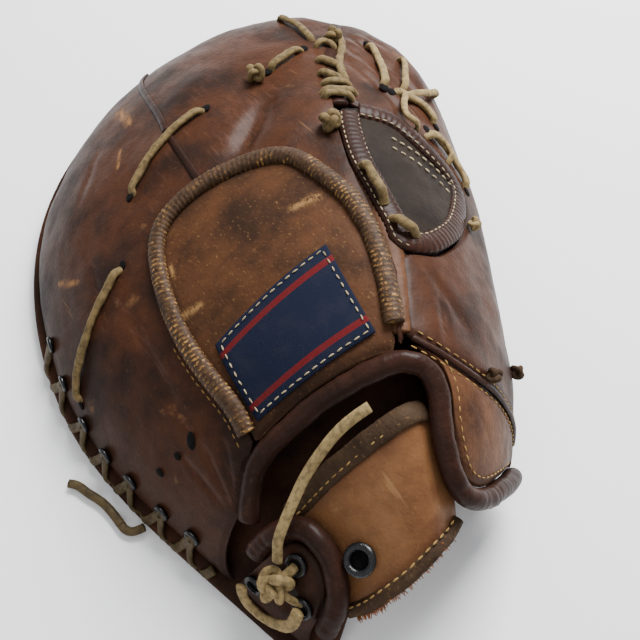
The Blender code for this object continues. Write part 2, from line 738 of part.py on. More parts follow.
def ring(name, slot, place, radius, wire, depth, sides=12):
    """An eyelet: a small ring that lies on the leather."""
    w, t = np.array([place[0]]), np.array([place[1]])
    centre = layer(w, t, depth)[0]
    up = outward(w, t)[0]
    side = np.cross(up, np.array([0.3, 0.9, 0.1]))
    side /= np.linalg.norm(side)
    other = np.cross(up, side)
    bm = bmesh.new()
    bmesh.ops.create_grid(bm, x_segments=sides, y_segments=4, size=1.0)
    for vert in bm.verts:
        a = (vert.co.x + 1.0) * math.pi
        b = (vert.co.y + 1.0) * math.pi
        reach = radius + wire * math.cos(b)
        place_3d = centre + (side * math.cos(a) + other * math.sin(a)) * reach + up * wire * math.sin(b)
        vert.co = Vector(place_3d)
    bmesh.ops.remove_doubles(bm, verts=bm.verts[:], dist=1e-6)
    return finish(bm, name, slot)


def cord(name, slot, points, radius):
    """A free lace end: a round curve with filled caps."""
    curve = bpy.data.curves.new(name, "CURVE")
    curve.dimensions = "3D"
    spline = curve.splines.new("POLY")
    spline.points.add(len(points) - 1)
    for k, point in enumerate(points):
        spline.points[k].co = (point[0] + MOVE[0], point[1] + MOVE[1], point[2] + MOVE[2], 1.0)
    curve.bevel_depth = radius
    curve.bevel_resolution = 2
    curve.use_fill_caps = True
    curve.resolution_u = 1
    curve.render_resolution_u = 0
    curve.materials.append(material(slot))
    made = bpy.data.objects.new(name, curve)
    bpy.context.scene.collection.objects.link(made)
    return made


for old in list(bpy.data.objects):
    bpy.data.objects.remove(old, do_unlink=True)

# The palm: one thick padded sheet with the rim roll, split under the web.
palm_w = np.array([-0.022, 0.03, 0.08, 0.135, 0.19, 0.245, 0.295, 0.330, SPLIT_START, 0.375, 0.420,
                   0.470, 0.525, 0.575, 0.620, 0.668, 0.740, 0.815, 0.885, 0.945, 1.0])
finger_columns = 9
thumb_columns = 7
palm_grid = np.zeros((len(palm_w), finger_columns + thumb_columns + 8, 2))
for i, w in enumerate(palm_w):
    split_f = float(column(SPLIT, 1, w))
    split_t = float(column(SPLIT, 2, w))
    fingers = np.linspace(-1.0, split_f, finger_columns + 1)
    thumbs = np.linspace(split_t, 1.0, thumb_columns + 1)
    across = np.concatenate([[-1.3, -1.2, -1.1], fingers, thumbs, [1.1, 1.2, 1.3]])
    start_w = np.interp(across, np.array(PALM_HEEL)[:, 0], np.array(PALM_HEEL)[:, 1])
    share = np.clip((w - palm_w[0]) / (PALM_HEEL_REACH - palm_w[0]), 0.0, 1.0)
    palm_grid[i, :, 0] = np.where(w < PALM_HEEL_REACH, start_w + share * (PALM_HEEL_REACH - start_w), w)
    palm_grid[i, :, 1] = across
split_row = int(np.argmin(np.abs(palm_w - SPLIT_START)))
split_column = 3 + finger_columns


def palm_top(flat):
    return palm_face(flat[:, 0], flat[:, 1], False)


def palm_bottom(flat):
    return palm_face(flat[:, 0], flat[:, 1], True)


def palm_keeps(i, j):
    return not (j == split_column and i >= split_row)


sheet("palm", "palm_leather", palm_grid, palm_top, palm_bottom, palm_keeps)

# Panels of the back.
welt = along_rows(WELT_LINE, 2)
welt_left = shifted(welt, SEAM_GAP)
welt_right = shifted(welt, -SEAM_GAP)
opening = along_rows(OPENING_LINE, 8)


def beside_opening(rows, gap=SEAM_GAP):
    """Places beside the opening binding at the given rows of its line."""
    side = shifted(opening[:, 0:2], BINDING_RADIUS + gap)
    at = np.array(rows, dtype=float) * 8.0
    knots = np.arange(len(side), dtype=float)
    return np.stack([np.interp(at, knots, side[:, k]) for k in range(2)], axis=1)


start = along_rows(FINGER_WRIST_END, 2, True)
inner_line = np.vstack([beside_opening(start[:, 0]), welt_left, [FINGER_LAST[0:2]]])
outer_line = np.vstack([start[:, 1:3], along_rows(FINGER_OUTER, 2, True), [FINGER_LAST[2:4]]])
back_grid = ruled(inner_line, outer_line, 8)
leather("finger_back", "finger_leather", back_grid, 0.0)

lower = beside_opening(along_rows([(row,) for row in PANEL_LOWER], 2, True)[:, 0])
leather("hand_panel", "panel_leather", ruled(welt_right, lower, 5), 0.0)

thumb = along_rows(THUMB_ROWS, 1)
leather("thumb_back", "finger_leather", ruled(thumb[:, 0:2], thumb[:, 4:6], 8, thumb[:, 2:4]), 0.0)

heel = along_rows(HEEL_ROWS, 2)
leather("thumb_heel", "panel_leather", ruled(heel[:, 0:2], beside_opening(heel[:, 2], 2.0 * SEAM_GAP), 3), 0.0)

web = along_rows(WEB_ROWS, 1)
leather("web", "web_leather", ruled(web[:, 0:2], web[:, 2:4], 7), 0.0)

tab = along_rows(TAB_ROWS, 1)
leather("wrist_tab", "finger_leather", ruled(tab[:, 0:2], tab[:, 2:4], 4), 0.0)

strap = along_rows(STRAP_ROWS, STRAP_ROW_PARTS)
strap_grid = ruled(strap[:, 0:2], strap[:, 2:4], 3)
strap_depth = np.repeat(strap[:, 4], 4)
sheet("wrist_strap", "strap_leather", strap_grid,
      lambda flat: layer(flat[:, 0], flat[:, 1], strap_depth),
      lambda flat: layer(flat[:, 0], flat[:, 1], strap_depth + STRAP_THICK))

corners = np.array(LABEL_CORNERS)
label_top = np.linspace(corners[0], corners[1], 9)
label_low = np.linspace(corners[3], corners[2], 9)
leather("label", "label_fabric", ruled(label_top, label_low, 5), -LABEL_THICK - 0.0007, LABEL_THICK)

# Welts, bindings and sewn strips.
welt_line = along_rows(WELT_LINE, 2)[1:-1]
on_leather("panel_welt", "welt_leather", welt_line, 1, flat_back(WELT_HALF, WELT_RISE), -WIDE_SEAT_GAP)
on_leather("opening_binding", "binding_leather", OPENING_LINE, 2, oval(BINDING_RADIUS, BINDING_RADIUS, 8))
on_leather("tab_binding", "binding_leather", TAB_LINE, 2, oval(TAB_BINDING_RADIUS, TAB_BINDING_RADIUS, 8), 0.0010)
for binding_name, first_column, away, span in (
        ("strap_binding_top", 0, STRAP_BINDING_HALF + SEAM_GAP, STRAP_TOP_ROWS),
        ("strap_binding_lower", 2, -STRAP_BINDING_HALF - STRAP_LOWER_GAP, STRAP_LOWER_ROWS)):
    moved = shifted(strap[:, first_column:first_column + 2], away)
    rows_used = slice(int(span[0] * STRAP_ROW_PARTS), int(span[1] * STRAP_ROW_PARTS) + 1)
    deep = strap[rows_used, 4:5] + STRAP_THICK * 0.35
    on_leather(binding_name, "binding_leather", np.hstack([moved[rows_used], deep]), 1,
               oval(STRAP_BINDING_HALF, STRAP_BINDING_RISE, 8))
on_leather("thumb_seam_welt", "binding_leather", THUMB_SEAM_LINE, 2,
           flat_back(THUMB_WELT_HALF, THUMB_WELT_RISE), -SEAT_GAP)
border_left = [tuple(row[0:2]) for row in WEB_ROWS]
border_right = [tuple(row[2:4]) for row in WEB_ROWS]
border = np.array(border_left[::-1] + border_right)
on_leather("web_border", "welt_leather", shifted(along_rows(border[1:], 1), 0.0045), 1,
           flat_back(WEB_BORDER_HALF, WEB_BORDER_RISE), -WIDE_SEAT_GAP)
on_leather("back_strip_upper", "binding_leather", STRIP_LINE_UPPER, 2, flat_back(0.0024, 0.0008), -WIDE_SEAT_GAP)
on_leather("back_strip_lower", "binding_leather", STRIP_LINE_LOWER, 1, flat_back(0.0024, 0.0008), -WIDE_SEAT_GAP)

# Laces and knots on the back.
LACE = oval(LACE_HALF, LACE_RISE, 8)
LACE_DEPTH = -LACE_RISE - SEAT_GAP
for lace_name, lace_rows in (
        ("back_lace_upper", BACK_LACE_UPPER),
        ("back_lace_lower", BACK_LACE_LOWER),
        ("index_lace", INDEX_LACE),
        ("tip_lace_upper", TIP_LACE_UPPER),
        ("tip_lace_lower", TIP_LACE_LOWER),
        ("thumb_lace_long", THUMB_LACE_LONG),
        ("thumb_lace_cross", THUMB_LACE_CROSS),
        ("thumb_lace_short", THUMB_LACE_SHORT)):
    on_leather(lace_name, "lace_rawhide", lace_rows, 2, LACE, LACE_DEPTH)
BORDER_TOP = WIDE_SEAT_GAP + WEB_BORDER_RISE
on_leather("web_lace_upper", "lace_rawhide", WEB_LACE_UPPER, 2, LACE, LACE_DEPTH - BORDER_TOP + 0.0008)
on_leather("web_lace_lower", "lace_rawhide", WEB_LACE_LOWER, 2, LACE, LACE_DEPTH - BORDER_TOP + 0.0003)
lump("finger_knot", "lace_rawhide", FINGER_KNOT, KNOT_RADIUS, 0.0)
lump("web_knot", "lace_rawhide", WEB_KNOT, KNOT_RADIUS, 0.0)
lump("tip_knot", "lace_rawhide", TIP_KNOT, KNOT_RADIUS, 0.0)
lump("thumb_knot_inner", "binding_leather", THUMB_KNOT_INNER, SMALL_KNOT_RADIUS, 0.0)
lump("thumb_knot_outer", "binding_leather", THUMB_KNOT_OUTER, SMALL_KNOT_RADIUS, -0.0008)

# Eyelets.
for k, place in enumerate(RIM_EYELETS):
    ring("rim_eyelet_%02d" % (k + 1), "eyelet_metal", place, RIM_EYELET_RADIUS, RIM_EYELET_WIRE,
         -RIM_EYELET_WIRE - WIDE_SEAT_GAP, 8)
for k, place in enumerate(TAB_EYELETS):
    ring("tab_eyelet_%02d" % (k + 1), "eyelet_metal", place, TAB_EYELET_RADIUS, TAB_EYELET_WIRE,
         -TAB_EYELET_WIRE - SEAT_GAP, 8)
ring("strap_eyelet", "eyelet_metal", STRAP_EYELET, STRAP_EYELET_RADIUS, STRAP_EYELET_WIRE,
     0.0020 - STRAP_EYELET_WIRE - SEAT_GAP, 12)

# The tie at the wrist.
w_t = np.array([TIE_KNOT[0]]), np.array([TIE_KNOT[1]])
tie_up = outward(*w_t)[0]
tie_side = unit(np.cross(tie_up, np.array([[0.0, 0.0, 1.0]])))[0]
tie_other = np.cross(tie_up, tie_side)
tie_centre = layer(w_t[0], w_t[1], -TIE_KNOT_SIZE[2] - SEAT_GAP - TAB_EYELET_WIRE)[0]
knot = bmesh.new()
bmesh.ops.create_icosphere(knot, subdivisions=2, radius=1.0)
for vert in knot.verts:
    place_3d = (tie_centre + tie_side * TIE_KNOT_SIZE[0] * vert.co.x + tie_other * TIE_KNOT_SIZE[1] * vert.co.y
                + tie_up * TIE_KNOT_SIZE[2] * vert.co.z)
    vert.co = Vector(place_3d)
finish(knot, "tie_knot", "lace_rawhide")
on_leather("tie_loop", "lace_rawhide", TIE_LOOP, 3, oval(0.0026, LACE_RISE, 8), -0.0058)
end_rows = along_rows(TIE_END, 3)
cord("tie_lace_end", "lace_rawhide", layer(end_rows[:, 0], end_rows[:, 1], -end_rows[:, 2]), TIE_RADIUS)

# The rim lace goes from eyelet to eyelet over the rim roll.
rim_points = []
LACE_STEPS = [
    # w past the eyelet, place: 0 by the edge, 1 over the corner, 2 outside the roll
    (0.000, 0),
    (-0.006, 1),
    (-0.014, 2),
    (-0.026, 2),
    (-0.036, 1),
]
for eyelet_w, eyelet_t in RIM_EYELETS:
    for past, kind in LACE_STEPS:
        w = np.array([eyelet_w + past])
        rim_z = float(cubic_at(KNOTS, VALUES, BENDS, w)[0][0, 2]) - RIM_ROLL_TOP
        reach = (RIM_LACE_RADIUS + SEAM_GAP, RIM_ROLL_FINGER + 0.0010, RIM_ROLL_FINGER + RIM_LACE_RADIUS + SEAM_GAP)
        high = (rim_z + RIM_LACE_RADIUS + SEAT_GAP, rim_z + 0.0012, RIM_LACE_RADIUS + 0.0004)
        point = skin(w, np.array([-1.0]), -reach[kind], 0.0)[0]
        point[2] = high[kind]
        rim_points.append(point)
rim_path = np.array(rim_points)
rim_up = np.tile(np.array([[0.3, 0.2, 1.0]]), (len(rim_path), 1))
wrap("rim_lace", "lace_rawhide", rings_on(rim_path, rim_up, oval(RIM_LACE_RADIUS, RIM_LACE_RADIUS, 6)))
cord("rim_lace_end", "lace_rawhide",
     along_rows(RIM_END, 2) * np.array([MITT_WIDTH, MITT_LENGTH, MITT_HEIGHT]), RIM_END_RADIUS)
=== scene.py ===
# %% [markdown]
# This lesson dresses a worn first base mitt that lies palm down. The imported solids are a
# fixed frame: they say where each piece is. Each soft piece is made again here with far
# more rows, because leather shows its age in small creases that a plain solid can't hold.

# %% Load the frame
import math
import random

import bmesh
import bpy
import numpy as np
from mathutils import Matrix, Vector, noise


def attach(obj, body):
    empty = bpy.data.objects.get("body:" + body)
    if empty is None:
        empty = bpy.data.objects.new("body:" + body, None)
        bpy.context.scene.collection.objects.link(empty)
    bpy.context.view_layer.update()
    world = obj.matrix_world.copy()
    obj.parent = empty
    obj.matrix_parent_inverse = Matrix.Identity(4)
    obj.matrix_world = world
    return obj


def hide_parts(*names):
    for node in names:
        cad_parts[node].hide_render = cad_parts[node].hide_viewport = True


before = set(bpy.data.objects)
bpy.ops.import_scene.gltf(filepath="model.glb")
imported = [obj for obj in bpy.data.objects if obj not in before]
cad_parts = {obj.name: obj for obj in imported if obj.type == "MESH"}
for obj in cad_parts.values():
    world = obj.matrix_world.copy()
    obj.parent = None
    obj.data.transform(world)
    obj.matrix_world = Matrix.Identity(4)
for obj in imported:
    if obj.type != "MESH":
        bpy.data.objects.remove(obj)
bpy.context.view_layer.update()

print("solids in the frame:", len(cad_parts))

# %% [markdown]
# The camera comes first, so that every later choice can be judged from the photograph's
# angle. It looks steeply down at the back of the mitt, from the wrist end and to the left
# of it. A camera can be turned by hand, but one worked out from a target and two angles
# can be corrected one angle at a time.

# %% Camera
LOOK_AT = Vector((-0.0128, -0.0376, 0.0370))
CAMERA_AWAY = 0.385
CAMERA_AZIMUTH = math.radians(-37.5)
CAMERA_RISE = math.radians(58.0)
CAMERA_LENS = 49.45
CAMERA_SENSOR = 36.0


def make_camera():
    """A camera that looks at the middle of the mitt."""
    data = bpy.data.cameras.new("photo_camera")
    data.lens = CAMERA_LENS
    data.sensor_width = CAMERA_SENSOR
    data.clip_start = 0.01
    camera = bpy.data.objects.new("photo_camera", data)
    level = math.cos(CAMERA_RISE)
    away = Vector((math.sin(CAMERA_AZIMUTH) * level, -math.cos(CAMERA_AZIMUTH) * level,
                   math.sin(CAMERA_RISE)))
    camera.location = LOOK_AT + away * CAMERA_AWAY
    camera.rotation_euler = (-away).to_track_quat("-Z", "Y").to_euler()
    bpy.context.scene.collection.objects.link(camera)
    bpy.context.scene.camera = camera
    return camera


photo_camera = make_camera()
print("camera stands at", [round(x, 3) for x in photo_camera.location])

# %% [markdown]
# The back of the mitt is one smooth surface, cut into panels. A place on it is named by
# two shares: w goes from the wrist (0) to the tips (1), and t goes from the finger rim
# (-1) over the ridge (0) to the thumb rim (1). Sculpting would be freer, but with one
# surface the seams of neighbouring panels meet by themselves.

# %% Sizes and tables of the back
# Named sizes. The shares in the section table are shares of these three.
MITT_WIDTH = 0.250
MITT_LENGTH = 0.300
MITT_HEIGHT = 0.090

# Moves the shape so the origin lies under the middle of its box.
MOVE = (0.0012, -0.0006, 0.0)

LEATHER = 0.0025
SEAT_GAP = 0.0009
WIDE_SEAT_GAP = 0.0014
PALM_SEAT = 0.0018
SEAM_GAP = 0.0006
LABEL_THICK = 0.0008

# The palm bows less than the back, so the thumb and the fingers have their room.
PALM_FULLNESS = 0.35
PALM_PAD = 0.0115
PALM_PAD_TIP = 0.0070
RIM_PAD = 0.0065
RIM_ROLL_FINGER = 0.0048
RIM_ROLL_THUMB = 0.0020
RIM_ROLL_TOP = 0.0008
RIM_ROLL_ROUND = 0.0016

BINDING_RADIUS = 0.0042
TAB_BINDING_RADIUS = 0.0040
STRAP_THICK = 0.0030
WELT_HALF = 0.0041
WELT_RISE = 0.0030
WEB_BORDER_HALF = 0.0040
WEB_BORDER_RISE = 0.0024

LACE_HALF = 0.0021
LACE_RISE = 0.0016
TIE_RADIUS = 0.0022
RIM_END_RADIUS = 0.0020

RIM_EYELET_RADIUS = 0.0034
RIM_EYELET_WIRE = 0.0010
STRAP_EYELET_RADIUS = 0.0048
STRAP_EYELET_WIRE = 0.0015
TAB_EYELET_RADIUS = 0.0036
TAB_EYELET_WIRE = 0.0011

# Cross sections of the back, a row each from the wrist to the tips.
# x as a share of MITT_WIDTH, y of MITT_LENGTH, z of MITT_HEIGHT.
# The two fullness numbers say how boxy each side is: 1 straight, 2 round.
SECTIONS = [
    # w,    finger x, y, z,          ridge x, y, z,          thumb x, y, z,        finger, thumb
    (0.00, -0.392, -0.470, 0.067, -0.192, -0.503, 0.600, 0.000, -0.477, 0.067, 1.90, 2.00),
    (0.14, -0.440, -0.290, 0.067, -0.104, -0.370, 0.911, 0.112, -0.403, 0.056, 1.50, 1.90),
    (0.28, -0.480, -0.110, 0.067, -0.040, -0.243, 1.000, 0.204, -0.310, 0.044, 1.50, 1.80),
    (0.42, -0.468, 0.090, 0.089, 0.032, -0.110, 1.011, 0.296, -0.197, 0.044, 1.50, 1.80),
    (0.57, -0.336, 0.330, 0.133, 0.104, 0.017, 0.967, 0.384, -0.077, 0.067, 1.50, 1.80),
    (0.71, -0.092, 0.477, 0.189, 0.192, 0.137, 0.878, 0.456, 0.043, 0.111, 1.55, 1.80),
    (0.86, 0.184, 0.503, 0.256, 0.288, 0.243, 0.744, 0.504, 0.170, 0.222, 1.65, 1.85),
    (1.00, 0.360, 0.417, 0.378, 0.392, 0.330, 0.589, 0.464, 0.297, 0.400, 2.00, 2.00),
]

# Room for the hand under the ridge, and how thick the palm edge is at the finger rim.
ROOM = [
    # w,   cavity, edge thickness
    (-0.03, 0.0330, 0.0080),
    (0.14, 0.0300, 0.0080),
    (0.28, 0.0280, 0.0080),
    (0.42, 0.0260, 0.0090),
    (0.57, 0.0230, 0.0120),
    (0.71, 0.0180, 0.0140),
    (0.86, 0.0110, 0.0140),
    (1.00, 0.0000, 0.0120),
]

# Broad folds and swells of the leather: a line from one place to another,
# how far the swell reaches to each side, and its height (a fold is negative).
FOLDS = [
    # w,    t,     to w,  to t,   reach,  height
    (0.715, -0.225, 0.590, -0.262, 0.0110, -0.0034),
    (0.700, -0.420, 0.600, -0.420, 0.0160, 0.0026),
    (0.560, -0.620, 0.420, -0.640, 0.0200, 0.0016),
    (0.610, -0.120, 0.660, -0.060, 0.0120, 0.0016),
    (0.360, -0.200, 0.290, -0.240, 0.0260, 0.0020),
    (0.300, 0.620, 0.560, 0.700, 0.0100, 0.0016),
    (0.880, 0.300, 0.720, 0.420, 0.0060, -0.0016),
    (0.900, 0.560, 0.740, 0.620, 0.0070, 0.0014),
    (0.240, 0.330, 0.170, 0.600, 0.0100, -0.0012),
]

# Centre line of the thick welt round the hand panel, finger side to thumb side.
WELT_LINE = [
    # w,    t
    (0.204, -0.474), (0.226, -0.464), (0.255, -0.457), (0.305, -0.464), (0.369, -0.470),
    (0.435, -0.464), (0.478, -0.448), (0.507, -0.408), (0.533, -0.335), (0.551, -0.255),
    (0.556, -0.190), (0.541, -0.128), (0.489, -0.066), (0.435, -0.008), (0.380, 0.030), (0.320, 0.033),
    (0.271, 0.013), (0.230, -0.020),
]

# Outer boundary of the finger back, a row for each row of the welt line.
FINGER_OUTER = [
    # w,    t
    (0.215, -1.000), (0.255, -1.000), (0.300, -1.000), (0.350, -1.000), (0.410, -1.000),
    (0.470, -1.000), (0.540, -1.000), (0.630, -1.000), (0.740, -1.000), (0.870, -1.000),
    (1.000, -1.000), (1.000, -0.400), (1.000, 0.036), (0.790, 0.030), (0.640, 0.036), (0.545, 0.034),
    (0.440, 0.070), (0.330, 0.102),
]

# The finger back goes on past the welt to the wrist: the row of the opening
# line it lies beside, then its outer place at the rim.
FINGER_WRIST_END = [
    # row,  outer w, outer t
    (0.00, 0.108, -1.000),
    (0.80, 0.135, -1.000),
    (1.50, 0.160, -1.000),
    (2.10, 0.188, -1.000),
]
FINGER_LAST = (0.2250, 0.004, 0.2320, 0.026)

# Hand panel: the row of the opening line that each row of the welt line comes down to.
PANEL_LOWER = [2.45, 2.75, 3.00, 3.25, 3.50, 3.75, 3.95, 4.15, 4.35, 4.50, 4.65, 4.80, 4.95, 5.10,
               5.30, 5.50, 5.70, 5.85]

# Thumb back: inner edge, middle and outer edge of each row, from the thumb
# seam past the web to the tip.
THUMB_ROWS = [
    # w,     t,     mid w, mid t, outer w, outer t
    (0.236, 0.044, 0.162, 0.400, 0.110, 1.000),
    (0.275, 0.068, 0.215, 0.500, 0.180, 1.000),
    (0.315, 0.102, 0.275, 0.530, 0.245, 1.000),
    (0.345, 0.126, 0.310, 0.560, 0.300, 1.000),
    (0.347, 0.210, 0.335, 0.610, 0.345, 1.000),
    (0.350, 0.300, 0.360, 0.650, 0.390, 1.000),
    (0.370, 0.393, 0.395, 0.700, 0.430, 1.000),
    (0.403, 0.478, 0.430, 0.745, 0.465, 1.000),
    (0.469, 0.558, 0.490, 0.785, 0.510, 1.000),
    (0.535, 0.562, 0.550, 0.785, 0.560, 1.000),
    (0.588, 0.456, 0.600, 0.730, 0.610, 1.000),
    (0.638, 0.342, 0.650, 0.670, 0.665, 1.000),
    (0.659, 0.246, 0.690, 0.610, 0.720, 1.000),
    (0.668, 0.135, 0.740, 0.560, 0.790, 1.000),
    (0.725, 0.062, 0.800, 0.550, 0.850, 1.000),
    (0.810, 0.050, 0.865, 0.545, 0.905, 1.000),
    (0.900, 0.056, 0.930, 0.540, 0.955, 1.000),
    (1.000, 0.070, 1.000, 0.540, 1.000, 1.000),
]

# Thumb heel: from the thumb seam down to the binding.
HEEL_ROWS = [
    # w,     t,     row of the opening line
    (0.2180, 0.072, 6.85),
    (0.2080, 0.125, 7.20),
    (0.1950, 0.178, 7.90),
    (0.1840, 0.225, 8.80),
    (0.1700, 0.290, 9.90),
    (0.1560, 0.365, 10.80),
    (0.1420, 0.465, 11.70),
    (0.1300, 0.590, 12.60),
    (0.1190, 0.750, 13.50),
    (0.1080, 0.900, 14.30),
    (0.1020, 1.000, 15.00),
]

# Web: the pad between the lobes, finger edge to thumb edge.
WEB_ROWS = [
    # w,     t,     thumb w, thumb t
    (0.3620, 0.122, 0.3500, 0.205),
    (0.3900, 0.106, 0.3540, 0.296),
    (0.4240, 0.088, 0.3750, 0.386),
    (0.4600, 0.072, 0.4080, 0.470),
    (0.5000, 0.056, 0.4700, 0.550),
    (0.5400, 0.045, 0.5320, 0.554),
    (0.5800, 0.044, 0.5840, 0.449),
    (0.6140, 0.046, 0.6340, 0.335),
    (0.6400, 0.054, 0.6540, 0.240),
    (0.6560, 0.078, 0.6620, 0.150),
]

# Sides of the palm's split under the web and between the two lobes.
SPLIT = [
    # w,     finger t, thumb t
    (-0.030, 0.190, 0.210), (0.300, 0.190, 0.210), (0.345, 0.190, 0.215), (0.362, 0.120, 0.310),
    (0.385, 0.096, 0.440), (0.430, 0.070, 0.520), (0.500, 0.044, 0.578), (0.560, 0.034, 0.540),
    (0.610, 0.036, 0.430), (0.650, 0.036, 0.300), (0.675, 0.034, 0.135), (0.750, 0.030, 0.084),
    (0.880, 0.034, 0.084), (1.000, 0.036, 0.100),
]
SPLIT_START = 0.350

# The heel of the palm is cut back from the strap: its first w at each t.
PALM_HEEL = [
    # t,    w
    (-1.300, -0.020),
    (-1.000, -0.020),
    (-0.700, -0.006),
    (-0.450, 0.034),
    (-0.200, 0.070),
    (0.100, 0.084),
    (0.500, 0.078),
    (1.000, 0.085),
    (1.300, 0.085),
]
PALM_HEEL_REACH = 0.245

# Rolled binding round the opening, from the finger side corner round to the thumb rim.
OPENING_LINE = [
    # w,    t,     depth
    (0.138, -0.625, 0.0010), (0.150, -0.590, 0.0010), (0.179, -0.505, 0.0010), (0.194, -0.395, 0.0010),
    (0.203, -0.275, 0.0010), (0.206, -0.145, 0.0010), (0.203, -0.040, 0.0010), (0.187, 0.075, 0.0010),
    (0.150, 0.110, 0.0010), (0.113, 0.096, 0.0010), (0.073, 0.118, 0.0010), (0.041, 0.200, 0.0010),
    (0.020, 0.370, 0.0005), (0.017, 0.540, 0.0000), (0.024, 0.720, -0.0010), (0.048, 0.880, -0.0020),
]

# The wrist tab on the finger side, and its binding.
TAB_LINE = [
    # w,    t
    (0.106, -0.690), (0.109, -0.610), (0.103, -0.525), (0.084, -0.472), (0.055, -0.460),
    (0.028, -0.490), (0.012, -0.570), (0.004, -0.680),
]
TAB_ROWS = [
    # w,     t,    rim w, rim t
    (0.0930, -0.700, 0.1010, -0.990),
    (0.0950, -0.615, 0.0870, -0.985),
    (0.0900, -0.550, 0.0740, -0.985),
    (0.0760, -0.518, 0.0610, -0.985),
    (0.0550, -0.510, 0.0470, -0.985),
    (0.0370, -0.537, 0.0340, -0.985),
    (0.0250, -0.592, 0.0210, -0.985),
    (0.0170, -0.680, 0.0060, -0.985),
]

# The wrist strap: upper edge, lower edge and how deep it lies in each row.
STRAP_ROWS = [
    # w,    t,      lower w, lower t, depth
    (0.104, -0.590, 0.019, -0.660, 0.0066),
    (0.108, -0.525, 0.011, -0.590, 0.0062),
    (0.116, -0.430, 0.005, -0.480, 0.0060),
    (0.121, -0.360, 0.005, -0.360, 0.0036),
    (0.126, -0.270, 0.007, -0.240, 0.0016),
    (0.131, -0.180, 0.010, -0.140, 0.0010),
    (0.135, -0.090, 0.015, -0.050, 0.0012),
    (0.137, -0.020, 0.019, 0.030, 0.0030),
    (0.138, 0.050, 0.023, 0.100, 0.0058),
    (0.138, 0.120, 0.029, 0.170, 0.0066),
]

# The label's four corners on the hand panel, finger side upper corner first.
LABEL_CORNERS = [
    # w,    t
    (0.323, -0.416), (0.380, -0.128), (0.247, -0.088), (0.219, -0.432),
]

# Lines of the laces and the sewn strips that lie on the leather.
THUMB_SEAM_LINE = [(0.227, 0.061), (0.203, 0.150), (0.176, 0.262), (0.150, 0.420), (0.125, 0.660),
                   (0.108, 0.900)]
BACK_LACE_UPPER = [(0.660, -0.342), (0.632, -0.385), (0.603, -0.425), (0.574, -0.465), (0.546, -0.502)]
BACK_LACE_LOWER = [(0.466, -0.540), (0.446, -0.585), (0.430, -0.632), (0.414, -0.680), (0.398, -0.740),
                   (0.382, -0.800), (0.366, -0.850)]
INDEX_LACE = [(0.752, -0.212), (0.780, -0.180), (0.812, -0.145), (0.840, -0.108)]
FINGER_KNOT = (0.734, -0.238)
WEB_KNOT = (0.604, -0.006)
WEB_LACE_UPPER = [(0.510, 0.084), (0.478, 0.094), (0.448, 0.108), (0.424, 0.122)]
WEB_LACE_LOWER = [(0.402, 0.134), (0.386, 0.148), (0.376, 0.182), (0.372, 0.222)]
TIP_LACE_UPPER = [(0.800, -0.050), (0.795, 0.010), (0.785, 0.070), (0.770, 0.130)]
TIP_LACE_LOWER = [(0.715, -0.030), (0.718, 0.030), (0.722, 0.085), (0.724, 0.150)]
TIP_KNOT = (0.900, 0.062)
THUMB_LACE_LONG = [(0.905, 0.330), (0.850, 0.330), (0.790, 0.320), (0.730, 0.300)]
THUMB_LACE_CROSS = [(0.720, 0.340), (0.722, 0.420), (0.700, 0.500), (0.668, 0.560)]
THUMB_LACE_SHORT = [(0.640, 0.470), (0.610, 0.545), (0.570, 0.600), (0.530, 0.630)]
THUMB_KNOT_INNER = (0.165, 0.430)
THUMB_KNOT_OUTER = (0.215, 0.760)

RIM_EYELETS = [(0.443, -0.880), (0.400, -0.890), (0.349, -0.900), (0.305, -0.900),
               (0.262, -0.885), (0.212, -0.880), (0.168, -0.860)]
TAB_EYELETS = [(0.070, -0.575), (0.084, -0.800), (0.034, -0.680)]
STRAP_EYELET = (0.040, -0.352)

# The lace that ties the strap: a flat knot, a loop and a long free end.
TIE_KNOT = (0.068, -0.650)
TIE_KNOT_HIGH = 0.0034
TIE_LOOP = [(0.092, -0.790), (0.081, -0.835), (0.061, -0.845), (0.044, -0.810), (0.031, -0.745),
            (0.034, -0.655)]
TIE_END = [
    # w,    t,     height over the back
    (0.0845, -0.598, 0.0050), (0.0930, -0.566, 0.0063), (0.102, -0.528, 0.0082),
    (0.120, -0.458, 0.0066), (0.134, -0.408, 0.0052), (0.146, -0.350, 0.0050), (0.158, -0.270, 0.0056),
    (0.162, -0.185, 0.0062),
]
# Free end of the rim lace on the table, as x, y and z shares of the named sizes.
RIM_END = [
    (-0.5185, -0.166, 0.026),
    (-0.5200, -0.142, 0.026),
    (-0.5250, -0.118, 0.026),
    (-0.5350, -0.096, 0.026),
    (-0.5420, -0.078, 0.026),
    (-0.5530, -0.066, 0.026),
]

print("sections:", len(SECTIONS))

# %% [markdown]
# The surface is worked out from the sections with natural cubics, so it is smooth between
# the rows. A NURBS surface could do this too, but then a place on it has no plain name.

# %% The back surface
def natural_cubic(knots, values):
    """Second derivatives of a natural cubic through the rows of values."""
    count = len(knots)
    steps = np.diff(knots)
    matrix = np.zeros((count, count))
    right = np.zeros((count, values.shape[1]))
    matrix[0, 0] = 1.0
    matrix[-1, -1] = 1.0
    for i in range(1, count - 1):
        matrix[i, i - 1] = steps[i - 1]
        matrix[i, i] = 2.0 * (steps[i - 1] + steps[i])
        matrix[i, i + 1] = steps[i]
        rise = (values[i + 1] - values[i]) / steps[i]
        fall = (values[i] - values[i - 1]) / steps[i - 1]
        right[i] = 6.0 * (rise - fall)
    return np.linalg.solve(matrix, right)


